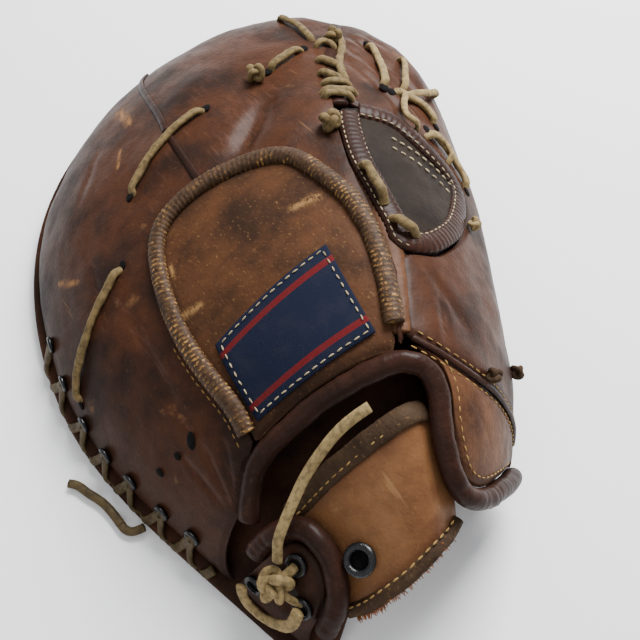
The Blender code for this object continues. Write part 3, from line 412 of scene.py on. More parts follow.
def cubic_at(knots, values, bends, places):
    """Value and slope of the cubic at each place."""
    i = np.clip(np.searchsorted(knots, places, side="right") - 1, 0, len(knots) - 2)
    d = (places - knots[i])[:, None]
    h = (knots[i + 1] - knots[i])[:, None]
    slope = (values[i + 1] - values[i]) / h - h * (2.0 * bends[i] + bends[i + 1]) / 6.0
    value = values[i] + d * slope + d * d * bends[i] / 2.0 + d ** 3 * (bends[i + 1] - bends[i]) / (6.0 * h)
    rate = slope + d * bends[i] + d * d * (bends[i + 1] - bends[i]) / (2.0 * h)
    return value, rate


TABLE = np.array(SECTIONS)
KNOTS = TABLE[:, 0]
SCALE = np.array([MITT_WIDTH, MITT_LENGTH, MITT_HEIGHT] * 3 + [1.0, 1.0])
VALUES = TABLE[:, 1:] * SCALE
BENDS = natural_cubic(KNOTS, VALUES)


def column(rows, index, w):
    """One column of a small table, read by straight lines between its rows."""
    table = np.array(rows)
    return np.interp(w, table[:, 0], table[:, index])


def unit(rows):
    """Rows scaled to length one."""
    return rows / np.maximum(np.linalg.norm(rows, axis=1), 1e-12)[:, None]


def along_line(places, a, b):
    """For each place, its share of the way from a to b and how far off that line it lies."""
    share = np.clip(((places - a) @ (b - a)) / ((b - a) @ (b - a)), 0.0, 1.0)
    return share, np.linalg.norm(places - a - share[:, None] * (b - a), axis=1)


def travelled(path):
    """Distance along a path at each of its places."""
    return np.concatenate([[0.0], np.cumsum(np.linalg.norm(np.diff(path, axis=0), axis=1))])


def hermite(start, end, leave, arrive, q):
    """Smooth plan curve from start to end."""
    q = q[:, None]
    a = 2.0 * q ** 3 - 3.0 * q ** 2 + 1.0
    b = q ** 3 - 2.0 * q ** 2 + q
    c = -2.0 * q ** 3 + 3.0 * q ** 2
    d = q ** 3 - q ** 2
    return a * start + b * leave + c * end + d * arrive


def skin(w, t, inset, drop, foot_finger=None, foot_thumb=None, flat=0.0):
    """Places on the back surface drawn in by inset at the rims and drop at the ridge."""
    w, t, inset, drop = [np.array(x, dtype=float).ravel() for x in np.broadcast_arrays(w, t, inset, drop)]
    value, rate = cubic_at(KNOTS, VALUES, BENDS, w)
    finger = value[:, 0:3].copy()
    ridge = value[:, 3:6].copy()
    thumb = value[:, 6:9].copy()
    kept = 1.0 - (1.0 - PALM_FULLNESS) * flat
    full_finger = 1.0 + (value[:, 9] - 1.0) * kept
    full_thumb = 1.0 + (value[:, 10] - 1.0) * kept
    finger_way = unit(rate[:, 0:2])
    thumb_way = unit(rate[:, 6:8])
    finger[:, 0] += finger_way[:, 1] * inset
    finger[:, 1] -= finger_way[:, 0] * inset
    thumb[:, 0] -= thumb_way[:, 1] * inset
    thumb[:, 1] += thumb_way[:, 0] * inset
    ridge[:, 2] -= drop
    if foot_finger is not None:
        finger[:, 2] = foot_finger
        thumb[:, 2] = foot_thumb
    across = unit(thumb[:, 0:2] - finger[:, 0:2])
    to_finger = np.linalg.norm(ridge[:, 0:2] - finger[:, 0:2], axis=1)[:, None]
    to_thumb = np.linalg.norm(thumb[:, 0:2] - ridge[:, 0:2], axis=1)[:, None]
    angle = np.clip(1.0 + t, 0.0, 1.0) * math.pi / 2.0
    along = 1.0 - np.abs(np.cos(angle)) ** (2.0 / full_finger)
    high = np.abs(np.sin(angle)) ** (2.0 / full_finger)
    plan = hermite(finger[:, 0:2], ridge[:, 0:2], ridge[:, 0:2] - finger[:, 0:2], across * to_finger, along)
    height = finger[:, 2] + (ridge[:, 2] - finger[:, 2]) * high
    angle = np.clip(t, 0.0, 1.0) * math.pi / 2.0
    along = np.abs(np.sin(angle)) ** (2.0 / full_thumb)
    high = np.abs(np.cos(angle)) ** (2.0 / full_thumb)
    plan_thumb = hermite(ridge[:, 0:2], thumb[:, 0:2], across * to_thumb,
                         thumb[:, 0:2] - ridge[:, 0:2], along)
    height_thumb = thumb[:, 2] + (ridge[:, 2] - thumb[:, 2]) * high
    left = t < 0.0
    places = np.zeros((len(w), 3))
    places[:, 0:2] = np.where(left[:, None], plan, plan_thumb)
    places[:, 2] = np.where(left, height, height_thumb)
    return places


def fold_height(w, t):
    """How far the broad folds and swells lift the leather at each place."""
    here = skin(w, t, 0.0, 0.0)
    lift = np.zeros(len(here))
    for w0, t0, w1, t1, reach, height in FOLDS:
        a = skin(w0, t0, 0.0, 0.0)[0]
        b = skin(w1, t1, 0.0, 0.0)[0]
        apart = along_line(here, a, b)[1]
        lift += height * np.exp(-(apart / reach) ** 2)
    return lift


def layer(w, t, depth):
    """Places at one depth under the outer face of the back leather."""
    w, t, depth = [np.array(x, dtype=float).ravel() for x in np.broadcast_arrays(w, t, depth)]
    real = depth - fold_height(w, t)
    return skin(w, t, real, real)


def outward(w, t):
    """Unit vectors that point out of the back leather."""
    t = np.clip(t, -0.97, 0.97)
    return unit(layer(w, t, -0.001) - layer(w, t, 0.001))


def at_depth(line, depth=0.0):
    """Places of a line of shares at one depth."""
    return layer(line[:, 0], line[:, 1], depth)


def facing(line):
    """Outward unit vectors along a line of shares."""
    return outward(line[:, 0], line[:, 1])


def smooth_step(x):
    """Ease from 0 to 1."""
    x = np.clip(x, 0.0, 1.0)
    return x * x * (3.0 - 2.0 * x)


def closing(w, t):
    """1 where the hand has its room, falling to 0 along the split between the lobes."""
    side_finger = (column(SPLIT, 1, w) - t) / 0.34
    side_thumb = (t - column(SPLIT, 2, w)) / 0.34
    near = np.where(t < (column(SPLIT, 1, w) + column(SPLIT, 2, w)) / 2.0, side_finger, side_thumb)
    ramp = np.sin(np.clip(near, 0.0, 1.0) * math.pi / 2.0)
    amount = smooth_step((w - 0.28) / 0.14)
    return 1.0 - amount * (1.0 - ramp)


def palm_face(w, t, under):
    """Upper or lower face of the palm. Past the rims it goes on into the rim roll."""
    edge = np.where(np.abs(t) > 1.0, np.abs(t) - 1.0, 0.0)
    t_in = np.clip(t, -1.0, 1.0)
    lift = fold_height(w, t_in)
    seat = LEATHER + PALM_SEAT
    value, rate = cubic_at(KNOTS, VALUES, BENDS, w)
    thick = column(ROOM, 2, w)
    foot_f = np.maximum(value[:, 2] - thick, 0.0)
    foot_t = np.maximum(value[:, 8] - thick, 0.0)
    flat = closing(w, t_in)
    room = column(ROOM, 1, w) * flat
    if under:
        pad = PALM_PAD + (PALM_PAD_TIP - PALM_PAD) * smooth_step((w - 0.6) / 0.4)
        inside = skin(w, t_in, seat + RIM_PAD - lift, seat + room + pad - lift, foot_f, foot_t, flat)
    else:
        inside = skin(w, t_in, seat - lift, seat + room - lift, flat=flat)
    roll = np.where(t < 0.0, RIM_ROLL_FINGER, RIM_ROLL_THUMB)
    top_z = np.where(t < 0.0, value[:, 2], value[:, 8]) - RIM_ROLL_TOP
    foot = np.where(t < 0.0, foot_f, foot_t)
    # The roll has three steps past the rim: under the edge, outside it, and rounded off.
    step = np.rint(edge * 10.0)
    out = np.where(step == 1, seat, np.where(step == 2, -roll * 0.7, -roll))
    ease = np.where(step == 3, RIM_ROLL_ROUND, 0.0)
    rim = skin(w, np.where(t < 0.0, -1.0, 1.0), out, out)
    rim[:, 2] = np.where(under, foot + ease, top_z - ease)
    places = np.where((step > 0)[:, None], rim, inside)
    places[:, 2] = np.maximum(places[:, 2], 0.0)
    return places


def along_rows(rows, parts, straight=False):
    """The rows of a table with extra rows put between them, on a smooth line."""
    table = np.array(rows, dtype=float)
    knots = np.arange(len(table), dtype=float)
    places = np.linspace(0.0, len(table) - 1.0, (len(table) - 1) * parts + 1)
    if straight:
        return np.stack([np.interp(places, knots, table[:, k]) for k in range(table.shape[1])], axis=1)
    return cubic_at(knots, table, natural_cubic(knots, table), places)[0]


def shifted(line, distance):
    """A line of shares moved sideways on the leather, to the left of its way."""
    w, t = line[:, 0], line[:, 1]
    step = 0.002
    across_w = (layer(w + step, t, 0.0) - layer(w - step, t, 0.0)) / (2.0 * step)
    across_t = (layer(w, t + step, 0.0) - layer(w, t - step, 0.0)) / (2.0 * step)
    way = np.gradient(line, axis=0)
    tangent = unit(across_w * way[:, :1] + across_t * way[:, 1:2])
    side = unit(np.cross(outward(w, t), tangent)) * distance
    moved = line.copy()
    for k in range(len(line)):
        base = np.stack([across_w[k], across_t[k]], axis=1)
        moved[k] = line[k] + np.linalg.lstsq(base, side[k], rcond=None)[0]
    return moved


def ruled(inner, outer, columns, middle=None):
    """A grid of shares between two lines, bent through a middle line if there is one."""
    q = np.linspace(0.0, 1.0, columns + 1)[None, :, None]
    a = inner[:, None, :]
    b = outer[:, None, :]
    if middle is None:
        return a * (1.0 - q) + b * q
    m = middle[:, None, :]
    return a * (1.0 - q) * (1.0 - 2.0 * q) + m * 4.0 * q * (1.0 - q) + b * q * (2.0 * q - 1.0)


print("surface ready")

# %% [markdown]
# Old leather is creased where the hand folds it. A crease here is a narrow valley from
# one place to another. It could be painted as bump alone, but deep ones catch the light
# along their whole length, so they are moved in the mesh, and bump adds the finest ones.

# %% Creases
CREASES = [
    # w,    t,     to w,  to t,   reach,  height
    (0.715, -0.180, 0.570, -0.265, 0.0052, -0.0030),
    (0.700, -0.225, 0.585, -0.300, 0.0060, 0.0014),
    (0.627, -0.370, 0.515, -0.460, 0.0022, -0.0007),
    (0.599, -0.400, 0.547, -0.455, 0.0016, -0.0006),
    (0.576, -0.340, 0.492, -0.420, 0.0018, -0.0006),
    (0.167, -0.630, 0.239, -0.575, 0.0014, -0.0008),
    (0.159, -0.620, 0.225, -0.525, 0.0014, -0.0008),
    (0.167, -0.655, 0.242, -0.645, 0.0016, -0.0007),
    (0.156, -0.590, 0.193, -0.500, 0.0016, -0.0007),
    (0.432, -0.570, 0.326, -0.565, 0.0030, -0.0008),
    (0.489, -0.615, 0.409, -0.625, 0.0024, -0.0006),
    (0.389, -0.555, 0.257, -0.580, 0.0034, -0.0008),
    (0.886, 0.150, 0.676, 0.460, 0.0026, -0.0024),
    (0.905, 0.185, 0.705, 0.525, 0.0026, 0.0018),
    (0.924, 0.215, 0.734, 0.590, 0.0026, -0.0024),
    (0.925, 0.300, 0.745, 0.700, 0.0026, 0.0018),
    (0.924, 0.375, 0.754, 0.810, 0.0026, -0.0020),
    (0.817, 0.135, 0.633, 0.400, 0.0026, -0.0020),
    (0.850, 0.140, 0.655, 0.430, 0.0026, 0.0018),
    (0.337, 0.210, 0.236, 0.365, 0.0026, -0.0010),
    (0.294, 0.260, 0.202, 0.215, 0.0022, -0.0009),
    (0.788, -0.395, 0.682, -0.375, 0.0026, -0.0006),
    (0.783, -0.255, 0.659, -0.295, 0.0024, -0.0007),
    (0.630, -0.645, 0.558, -0.660, 0.0022, -0.0006),
    (0.170, 0.080, 0.087, 0.175, 0.0016, -0.0006),
    (0.176, 0.190, 0.084, 0.400, 0.0016, -0.0006),
]
SCUFFS = [
    # w,    t,     to w,  to t,   reach
    (0.688, -0.675, 0.659, -0.570, 0.0017),
    (0.620, -0.560, 0.590, -0.545, 0.0006),
    (0.374, -0.470, 0.377, -0.410, 0.0012),
    (0.440, -0.440, 0.425, -0.440, 0.0008),
    (0.455, -0.170, 0.464, -0.105, 0.0013),
    (0.489, -0.755, 0.475, -0.670, 0.0010),
    (0.300, -0.200, 0.290, -0.180, 0.0010),
]
RUMPLE_SIZE = 0.021
RUMPLE_HEIGHT = 0.0007
SMALL_RUMPLE_SIZE = 0.0065
SMALL_RUMPLE_HEIGHT = 0.00022
SEAM_DIP = 0.0013
SEAM_DIP_REACH = 0.0022
EDGE_REACH = 0.0050
CREASE_FADE = 0.004
# Share of the way to the rim where the painted rim shade begins.
RIM_SHADE_FROM = 0.55


def crease_height(places):
    """How far the creases and the rumples move the leather at each place."""
    lift = np.zeros(len(places))
    for w0, t0, w1, t1, reach, height in CREASES:
        a = layer(w0, t0, 0.0)[0]
        b = layer(w1, t1, 0.0)[0]
        share, apart = along_line(places, a, b)
        fade = np.sin(np.clip(share, 0.04, 0.96) * math.pi) ** 0.5
        lift += height * fade * np.exp(-(apart / reach) ** 2)
    for k, place in enumerate(places):
        point = Vector(place)
        lift[k] += RUMPLE_HEIGHT * noise.noise(point / RUMPLE_SIZE)
        lift[k] += SMALL_RUMPLE_HEIGHT * noise.noise(point / SMALL_RUMPLE_SIZE)
    return lift


def line_mask(places, table):
    """How near each place is to any line of a table, 1 on the line."""
    mask = np.zeros(len(places))
    for row in table:
        a = layer(row[0], row[1], 0.0)[0]
        b = layer(row[2], row[3], 0.0)[0]
        apart = along_line(places, a, b)[1]
        mask = np.maximum(mask, np.exp(-(apart / row[4]) ** 2))
    return mask


def edge_distance(places):
    """Distance along the leather from each place of a grid to the nearest edge."""
    down = np.linalg.norm(np.diff(places, axis=0), axis=2)
    across = np.linalg.norm(np.diff(places, axis=1), axis=2)
    from_top = np.zeros(places.shape[:2])
    from_top[1:] = np.cumsum(down, axis=0)
    from_left = np.zeros(places.shape[:2])
    from_left[:, 1:] = np.cumsum(across, axis=1)
    down_edge = np.minimum(from_top, from_top[-1:] - from_top)
    across_edge = np.minimum(from_left, from_left[:, -1:] - from_left)
    return np.minimum(down_edge, across_edge)


print("creases in the table:", len(CREASES))

# %% [markdown]
# Every leather shares the same history: mottled oil stains, fine cracks, pores and pale
# scuffs. They are built once as a node group with named inputs, and each material places
# it with its own colours. The group also paints shade towards the lobe rims and pale
# highlights along the creases. The shader itself stays in the material.

# %% Worn leather node group
def add(tree, kind, values=None, **settings):
    """A node with its settings and its plain input values."""
    node = tree.nodes.new(kind)
    for key, value in settings.items():
        setattr(node, key, value)
    for key, value in (values or {}).items():
        node.inputs[key].default_value = value
    return node


def math_node(tree, operation, first, second):
    """A math node: each side is a socket or a number."""
    node = add(tree, "ShaderNodeMath", operation=operation)
    for k, side in enumerate((first, second)):
        if isinstance(side, (int, float)):
            node.inputs[k].default_value = side
        else:
            tree.links.new(side, node.inputs[k])
    return node.outputs[0]


def times(tree, first, second):
    """Two sockets or numbers multiplied."""
    return math_node(tree, "MULTIPLY", first, second)


def mix_colours(tree, amount, first, second):
    """A colour mix of two sockets or colours."""
    node = add(tree, "ShaderNodeMix", data_type="RGBA", blend_type="MIX")
    for key, side in ((0, amount), (6, first), (7, second)):
        if isinstance(side, (int, float, tuple)):
            node.inputs[key].default_value = side
        else:
            tree.links.new(side, node.inputs[key])
    return node.outputs[2]


def band(tree, value, low, high):
    """A mask that rises from 0 at low to 1 at high."""
    node = add(tree, "ShaderNodeMapRange", {"From Min": low, "From Max": high},
               interpolation_type="SMOOTHSTEP")
    tree.links.new(value, node.inputs["Value"])
    return node.outputs["Result"]


def noise_mask(tree, place, scale, detail, low, high, stretch=None, turn=0.0):
    """A noise pattern cut to a mask, stretched along one way if asked."""
    source = place
    if stretch is not None:
        mapping = add(tree, "ShaderNodeMapping", {"Scale": stretch, "Rotation": (0.0, 0.0, turn)})
        tree.links.new(place, mapping.inputs["Vector"])
        source = mapping.outputs["Vector"]
    pattern = add(tree, "ShaderNodeTexNoise", {"Scale": scale, "Detail": detail, "Roughness": 0.62})
    tree.links.new(source, pattern.inputs["Vector"])
    return band(tree, pattern.outputs["Fac"], low, high)


GROUP_COLOURS = ("Base", "Dark", "Scuff")
GROUP_NUMBERS = ("Patches", "Scuffing", "Cracks", "Flecks", "Gloss")
# Painted highlight along the creases: its pale pink colour and how strongly it shows.
CREASE_HIGHLIGHT_COLOUR = (0.330, 0.150, 0.105, 1.0)
CREASE_HIGHLIGHT_SHOWS = 0.07
PORE_SCALE = 620.0
HAIRLINE_SCALE = 150.0


def worn_leather_group():
    """Mottled colour, roughness and height of old leather, with painted shade towards the rims and painted
    highlights along the creases.
    """
    group = bpy.data.node_groups.new("worn_leather", "ShaderNodeTree")
    face = group.interface
    for name in GROUP_COLOURS:
        face.new_socket(name, in_out="INPUT", socket_type="NodeSocketColor")
    for name in GROUP_NUMBERS:
        face.new_socket(name, in_out="INPUT", socket_type="NodeSocketFloat")
    face.new_socket("Color", in_out="OUTPUT", socket_type="NodeSocketColor")
    face.new_socket("Roughness", in_out="OUTPUT", socket_type="NodeSocketFloat")
    face.new_socket("Height", in_out="OUTPUT", socket_type="NodeSocketFloat")
    given = add(group, "NodeGroupInput").outputs
    result = add(group, "NodeGroupOutput").inputs
    place = add(group, "ShaderNodeTexCoord").outputs["Object"]
    edge, folded, scuffed = [add(group, "ShaderNodeAttribute", attribute_name=name).outputs["Fac"]
                             for name in ("edge", "folded", "scuffed")]

    stains = noise_mask(group, place, 26.0, 7.0, 0.42, 0.66)
    speckle = noise_mask(group, place, 190.0, 5.0, 0.40, 0.70)
    streaks = noise_mask(group, place, 60.0, 6.0, 0.56, 0.72, (1.0, 0.16, 0.4), 0.5)
    other_streaks = noise_mask(group, place, 75.0, 6.0, 0.58, 0.74, (0.2, 1.0, 0.5), -0.6)
    scratches = noise_mask(group, place, 130.0, 3.0, 0.70, 0.76, (1.0, 0.07, 0.3), 0.9)
    rubbed = noise_mask(group, place, 48.0, 9.0, 0.64, 0.74)
    flecks = noise_mask(group, place, 900.0, 3.0, 0.60, 0.72, (1.0, 0.60, 0.8), 0.5)
    broken = noise_mask(group, place, 520.0, 4.0, 0.34, 0.52)
    lines = noise_mask(group, place, 700.0, 4.0, 0.48, 0.62, (0.9, 0.12, 0.4), 2.07)

    dark_share = times(group, stains, given["Patches"])
    colour = mix_colours(group, dark_share, given["Base"], given["Dark"])
    speckle_share = times(group, speckle, 0.28)
    colour = mix_colours(group, speckle_share, colour, given["Dark"])
    both = math_node(group, "MAXIMUM", streaks, other_streaks)
    crack_share = times(group, both, given["Cracks"])
    colour = mix_colours(group, times(group, crack_share, 0.55), colour, given["Dark"])
    # Darker near the panel edges, as wear, and towards the lobe rims, as painted shade.
    colour = mix_colours(group, times(group, edge, 0.55), colour, given["Dark"])
    # Painted highlight: pale pink streaks along the creases, where light catches their crests. The same
    # streaks are cut into the bump.
    crease_highlight_lines = times(group, times(group, folded, lines), CREASE_HIGHLIGHT_SHOWS)
    colour = mix_colours(group, crease_highlight_lines, colour, CREASE_HIGHLIGHT_COLOUR)
    fleck_share = times(group, flecks, given["Flecks"])
    colour = mix_colours(group, fleck_share, colour, given["Scuff"])
    worn = math_node(group, "MAXIMUM", scratches, rubbed)
    scuff_share = times(group, worn, given["Scuffing"])
    scuff_share = math_node(group, "MAXIMUM", scuff_share, times(group, scuffed, broken))
    colour = mix_colours(group, scuff_share, colour, given["Scuff"])
    group.links.new(colour, result["Color"])

    rough = math_node(group, "ADD", given["Gloss"], times(group, stains, 0.10))
    rough = math_node(group, "ADD", rough, times(group, scuff_share, 0.25))
    rough = math_node(group, "ADD", rough, times(group, speckle, 0.08))
    group.links.new(rough, result["Roughness"])

    pores = add(group, "ShaderNodeTexVoronoi", {"Scale": PORE_SCALE, "Randomness": 1.0})
    group.links.new(place, pores.inputs["Vector"])
    cells = add(group, "ShaderNodeTexVoronoi", {"Scale": HAIRLINE_SCALE, "Randomness": 1.0},
                feature="DISTANCE_TO_EDGE")
    bent = add(group, "ShaderNodeMix", {0: 0.035}, data_type="VECTOR")
    wander = add(group, "ShaderNodeTexNoise", {"Scale": 70.0, "Detail": 4.0})
    group.links.new(place, wander.inputs["Vector"])
    group.links.new(place, bent.inputs[4])
    group.links.new(wander.outputs["Color"], bent.inputs[5])
    group.links.new(bent.outputs[1], cells.inputs["Vector"])
    hairline = band(group, cells.outputs["Distance"], 0.0, 0.09)
    height = times(group, pores.outputs["Distance"], 0.30)
    height = math_node(group, "ADD", height, times(group, hairline, 0.10))
    height = math_node(group, "SUBTRACT", height, times(group, crack_share, 0.45))
    height = math_node(group, "SUBTRACT", height, times(group, crease_highlight_lines, 0.60))
    group.links.new(height, result["Height"])
    return group


WORN = worn_leather_group()
print("group made:", WORN.name)

# %% [markdown]
# Each leather has its own colours: oxblood brown on the lobes, orange brown on the panel
# over the hand, and tan on the strap. They could share one material with a ramp, but the
# real pieces were cut from different hides, so each has its own.

# %% Leather materials
LEATHERS = {
    # name: base, dark, scuff, patches, scuffing, cracks, flecks, gloss, bump, coat
    "lobe_leather": ((0.057, 0.021, 0.010), (0.016, 0.009, 0.007), (0.260, 0.130, 0.050),
                     0.90, 0.35, 0.8, 0.10, 0.42, 0.20, 0.08),
    "heel_leather": ((0.125, 0.053, 0.024), (0.036, 0.016, 0.010), (0.300, 0.160, 0.065),
                     0.85, 0.35, 0.7, 0.15, 0.42, 0.20, 0.06),
    "panel_leather": ((0.080, 0.034, 0.016), (0.022, 0.013, 0.009), (0.280, 0.155, 0.060),
                      0.90, 0.40, 0.7, 0.34, 0.48, 0.20, 0.0),
    "palm_leather": ((0.050, 0.021, 0.012), (0.016, 0.009, 0.007), (0.160, 0.085, 0.040),
                     0.80, 0.35, 0.8, 0.10, 0.48, 0.22, 0.0),
    "web_leather": ((0.024, 0.017, 0.013), (0.012, 0.010, 0.009), (0.130, 0.072, 0.042),
                    0.75, 0.35, 0.6, 0.12, 0.52, 0.22, 0.0),
    "strap_leather": ((0.190, 0.086, 0.035), (0.085, 0.032, 0.015), (0.380, 0.220, 0.095),
                      0.85, 0.30, 0.5, 0.18, 0.36, 0.16, 0.12),
    "binding_leather": ((0.036, 0.014, 0.009), (0.014, 0.007, 0.005), (0.150, 0.070, 0.032),
                        0.75, 0.30, 0.7, 0.08, 0.36, 0.26, 0.10),
    "worn_binding_leather": ((0.066, 0.040, 0.023), (0.026, 0.016, 0.011), (0.280, 0.150, 0.065),
                             0.80, 0.45, 0.9, 0.35, 0.60, 0.35, 0.0),
}


LEATHER_BUMP = 2.4
LEATHER_DEEP = 0.0006
LEATHER_MIRROR = 0.04
COAT_ROUGHNESS = 0.30


def new_look(name):
    """A material with its node tree and its Principled shader."""
    made = bpy.data.materials.new(name)
    made.use_nodes = True
    return made, made.node_tree, made.node_tree.nodes["Principled BSDF"]


def shine(tree, shader, colour, height, strength, distance, specular):
    """Give a shader its colour, its bump and how much it mirrors."""
    bump = add(tree, "ShaderNodeBump", {"Strength": strength, "Distance": distance})
    tree.links.new(colour, shader.inputs["Base Color"])
    tree.links.new(height, bump.inputs["Height"])
    tree.links.new(bump.outputs["Normal"], shader.inputs["Normal"])
    shader.inputs["Specular IOR Level"].default_value = specular


def leather_material(name):
    """A Principled material whose look comes from the worn leather group."""
    given = LEATHERS[name]
    made, tree, shader = new_look(name)
    look = add(tree, "ShaderNodeGroup", node_tree=WORN)
    for key, value in zip(GROUP_COLOURS, given[0:3]):
        look.inputs[key].default_value = value + (1.0,)
    for key, value in zip(GROUP_NUMBERS, given[3:8]):
        look.inputs[key].default_value = value
    bump_height, coat = given[8:10]
    shine(tree, shader, look.outputs["Color"], look.outputs["Height"], bump_height * LEATHER_BUMP,
          LEATHER_DEEP, LEATHER_MIRROR)
    tree.links.new(look.outputs["Roughness"], shader.inputs["Roughness"])
    shader.inputs["Coat Weight"].default_value = coat
    shader.inputs["Coat Roughness"].default_value = COAT_ROUGHNESS
    return made


MATERIALS = {name: leather_material(name) for name in LEATHERS}
print("leathers:", ", ".join(MATERIALS))

# %% [markdown]
# The small parts have finishes of their own. The welt is ribbed, and its crests are rubbed to
# a pale gold, so its colour follows the rib height kept on the mesh. Rawhide lace is dry
# and speckled. The label is a plain woven cloth with two stripes. Eyelets are black paint.

# %% Small finishes
def plain_material(name, colour, rough, metallic=0.0):
    """A material with a broken colour, for small pieces."""
    made, tree, shader = new_look(name)
    place = add(tree, "ShaderNodeTexCoord").outputs["Object"]
    dirt = noise_mask(tree, place, 420.0, 5.0, 0.38, 0.70)
    darker = tuple(x * 0.45 for x in colour) + (1.0,)
    dirty = mix_colours(tree, dirt, colour + (1.0,), darker)
    shine(tree, shader, dirty, dirt, 0.4, 0.0003, 0.5 if metallic else 0.15)
    shader.inputs["Roughness"].default_value = rough
    shader.inputs["Metallic"].default_value = metallic
    return made


WELT_BROWN = (0.058, 0.030, 0.015)
WELT_GOLD = (0.330, 0.175, 0.050, 1.0)


def ribbed_material():
    """Dark grooves and rubbed golden crests."""
    made = plain_material("welt_leather", WELT_BROWN, 0.56)
    tree = made.node_tree
    shader = tree.nodes["Principled BSDF"]
    old = shader.inputs["Base Color"].links[0].from_socket
    crest = add(tree, "ShaderNodeAttribute", attribute_name="edge").outputs["Fac"]
    place = add(tree, "ShaderNodeTexCoord").outputs["Object"]
    rubbed = noise_mask(tree, place, 70.0, 6.0, 0.40, 0.60)
    flecks = noise_mask(tree, place, 620.0, 4.0, 0.46, 0.62)
    share = times(tree, band(tree, crest, 0.20, 0.90), rubbed)
    share = times(tree, share, flecks)
    gold = mix_colours(tree, share, old, WELT_GOLD)
    tree.links.new(gold, shader.inputs["Base Color"])
    return made


NAVY = (0.0060, 0.0090, 0.0240, 1.0)
STRIPE_RED = (0.110, 0.007, 0.009, 1.0)
FADED = (0.060, 0.048, 0.040, 1.0)
STRIPE_LOW = 0.125
STRIPE_WIDTH = 0.065
WEAVE_SCALES = {"X": 34.0, "Y": 24.0}


def label_material():
    """Navy cloth with a red stripe inside each long edge."""
    made, tree, shader = new_look("label_cloth")
    spot = add(tree, "ShaderNodeUVMap", uv_map="UVMap").outputs["UV"]
    parts = add(tree, "ShaderNodeSeparateXYZ")
    tree.links.new(spot, parts.inputs[0])
    across = parts.outputs["Y"]
    colour = NAVY
    for low in (STRIPE_LOW, 1.0 - STRIPE_LOW - STRIPE_WIDTH):
        above = math_node(tree, "GREATER_THAN", across, low)
        below = math_node(tree, "LESS_THAN", across, low + STRIPE_WIDTH)
        colour = mix_colours(tree, times(tree, above, below), colour, STRIPE_RED)
    place = add(tree, "ShaderNodeTexCoord").outputs["Object"]
    faded = noise_mask(tree, place, 120.0, 7.0, 0.45, 0.75)
    colour = mix_colours(tree, times(tree, faded, 0.12), colour, FADED)
    threads = []
    for direction, scale in WEAVE_SCALES.items():
        wave = add(tree, "ShaderNodeTexWave", {"Scale": scale}, bands_direction=direction)
        tree.links.new(spot, wave.inputs["Vector"])
        threads.append(wave.outputs["Fac"])
    weave = math_node(tree, "MAXIMUM", threads[0], threads[1])
    shine(tree, shader, colour, weave, 0.5, 0.0003, 0.12)
    shader.inputs["Roughness"].default_value = 0.80
    return made


MATERIALS["welt_leather"] = ribbed_material()
MATERIALS["label_cloth"] = label_material()
PLAIN = {
    # name: colour, roughness, metallic
    "rawhide": ((0.290, 0.205, 0.090), 0.72),
    "old_rawhide": ((0.165, 0.112, 0.046), 0.70),
    "dark_rawhide": ((0.082, 0.056, 0.024), 0.50),
    "frayed_hide": ((0.260, 0.090, 0.030), 0.85),
    "eyelet_paint": ((0.008, 0.008, 0.009), 0.22, 0.3),
    "cream_thread": ((0.420, 0.340, 0.210), 0.80),
    "gold_thread": ((0.330, 0.200, 0.065), 0.80),
    # Painted shade: near black for the inside of the holes.
    "painted_hole_shade": ((0.004, 0.003, 0.003), 0.95),
}
for name, given in PLAIN.items():
    MATERIALS[name] = plain_material(name, *given)
print("finishes in all:", len(MATERIALS))

# %% [markdown]
# A panel starts as a flat grid. An extrude gives it two faces and a wall, and then every
# vertex is moved to its place in the back. The edge sinks into its seam, as sewn leather
# does. A Cloth simulation could drape the panels, but they have to keep their seams.

# %% Panels
FULL_SIDES = 16


def make_piece(bm, node, ending, material_name, slot_name, *replaced):
    """Turn a bmesh into a piece that rides on the mitt and stands for its solids."""
    bmesh.ops.translate(bm, verts=bm.verts[:], vec=Vector(MOVE))
    bmesh.ops.recalc_face_normals(bm, faces=bm.faces[:])
    if bm.calc_volume(signed=True) < 0.0:
        bmesh.ops.reverse_faces(bm, faces=bm.faces[:])
    mesh = bpy.data.meshes.new(node + ending)
    bm.to_mesh(mesh)
    bm.free()
    mesh.shade_smooth()
    mesh.materials.append(MATERIALS[material_name])
    made = bpy.data.objects.new(node + ending, mesh)
    bpy.context.scene.collection.objects.link(made)
    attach(made, "root")
    if replaced:
        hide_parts(*replaced)
    print(made.name, "faces:", len(mesh.polygons))
    return made


def grid_piece(shape, upper, lower, edge, keep=None, **masks):
    """A closed sheet from a grid, with its masks and a UV map over the grid."""
    rows, columns = shape
    bm = bmesh.new()
    place = bm.verts.layers.int.new("place")
    masks["edge"] = edge
    kept = [(bm.verts.layers.float.new(name), values) for name, values in masks.items()]
    place = bm.verts.layers.int["place"]
    bmesh.ops.create_grid(bm, x_segments=rows - 1, y_segments=columns - 1, size=1.0)
    for vert in bm.verts:
        i = int(round((vert.co.x + 1.0) / 2.0 * (rows - 1)))
        j = int(round((vert.co.y + 1.0) / 2.0 * (columns - 1)))
        vert[place] = i * columns + j
    if keep is not None:
        dropped = [f for f in bm.faces if not keep(min(v[place] // columns for v in f.verts),
                                                   min(v[place] % columns for v in f.verts))]
        bmesh.ops.delete(bm, geom=dropped, context="FACES")
    made = bmesh.ops.extrude_face_region(bm, geom=bm.faces[:])
    fresh = set(g for g in made["geom"] if isinstance(g, bmesh.types.BMVert))
    spread = bm.loops.layers.uv.new("UVMap")
    for face in bm.faces:
        for loop in face.loops:
            at = loop.vert[place]
            loop[spread].uv = ((at // columns) / (rows - 1), (at % columns) / (columns - 1))
    for vert in bm.verts:
        for mask, values in kept:
            vert[mask] = values[vert[place]]
        vert.co = Vector((upper if vert in fresh else lower)[vert[place]])
    return bm


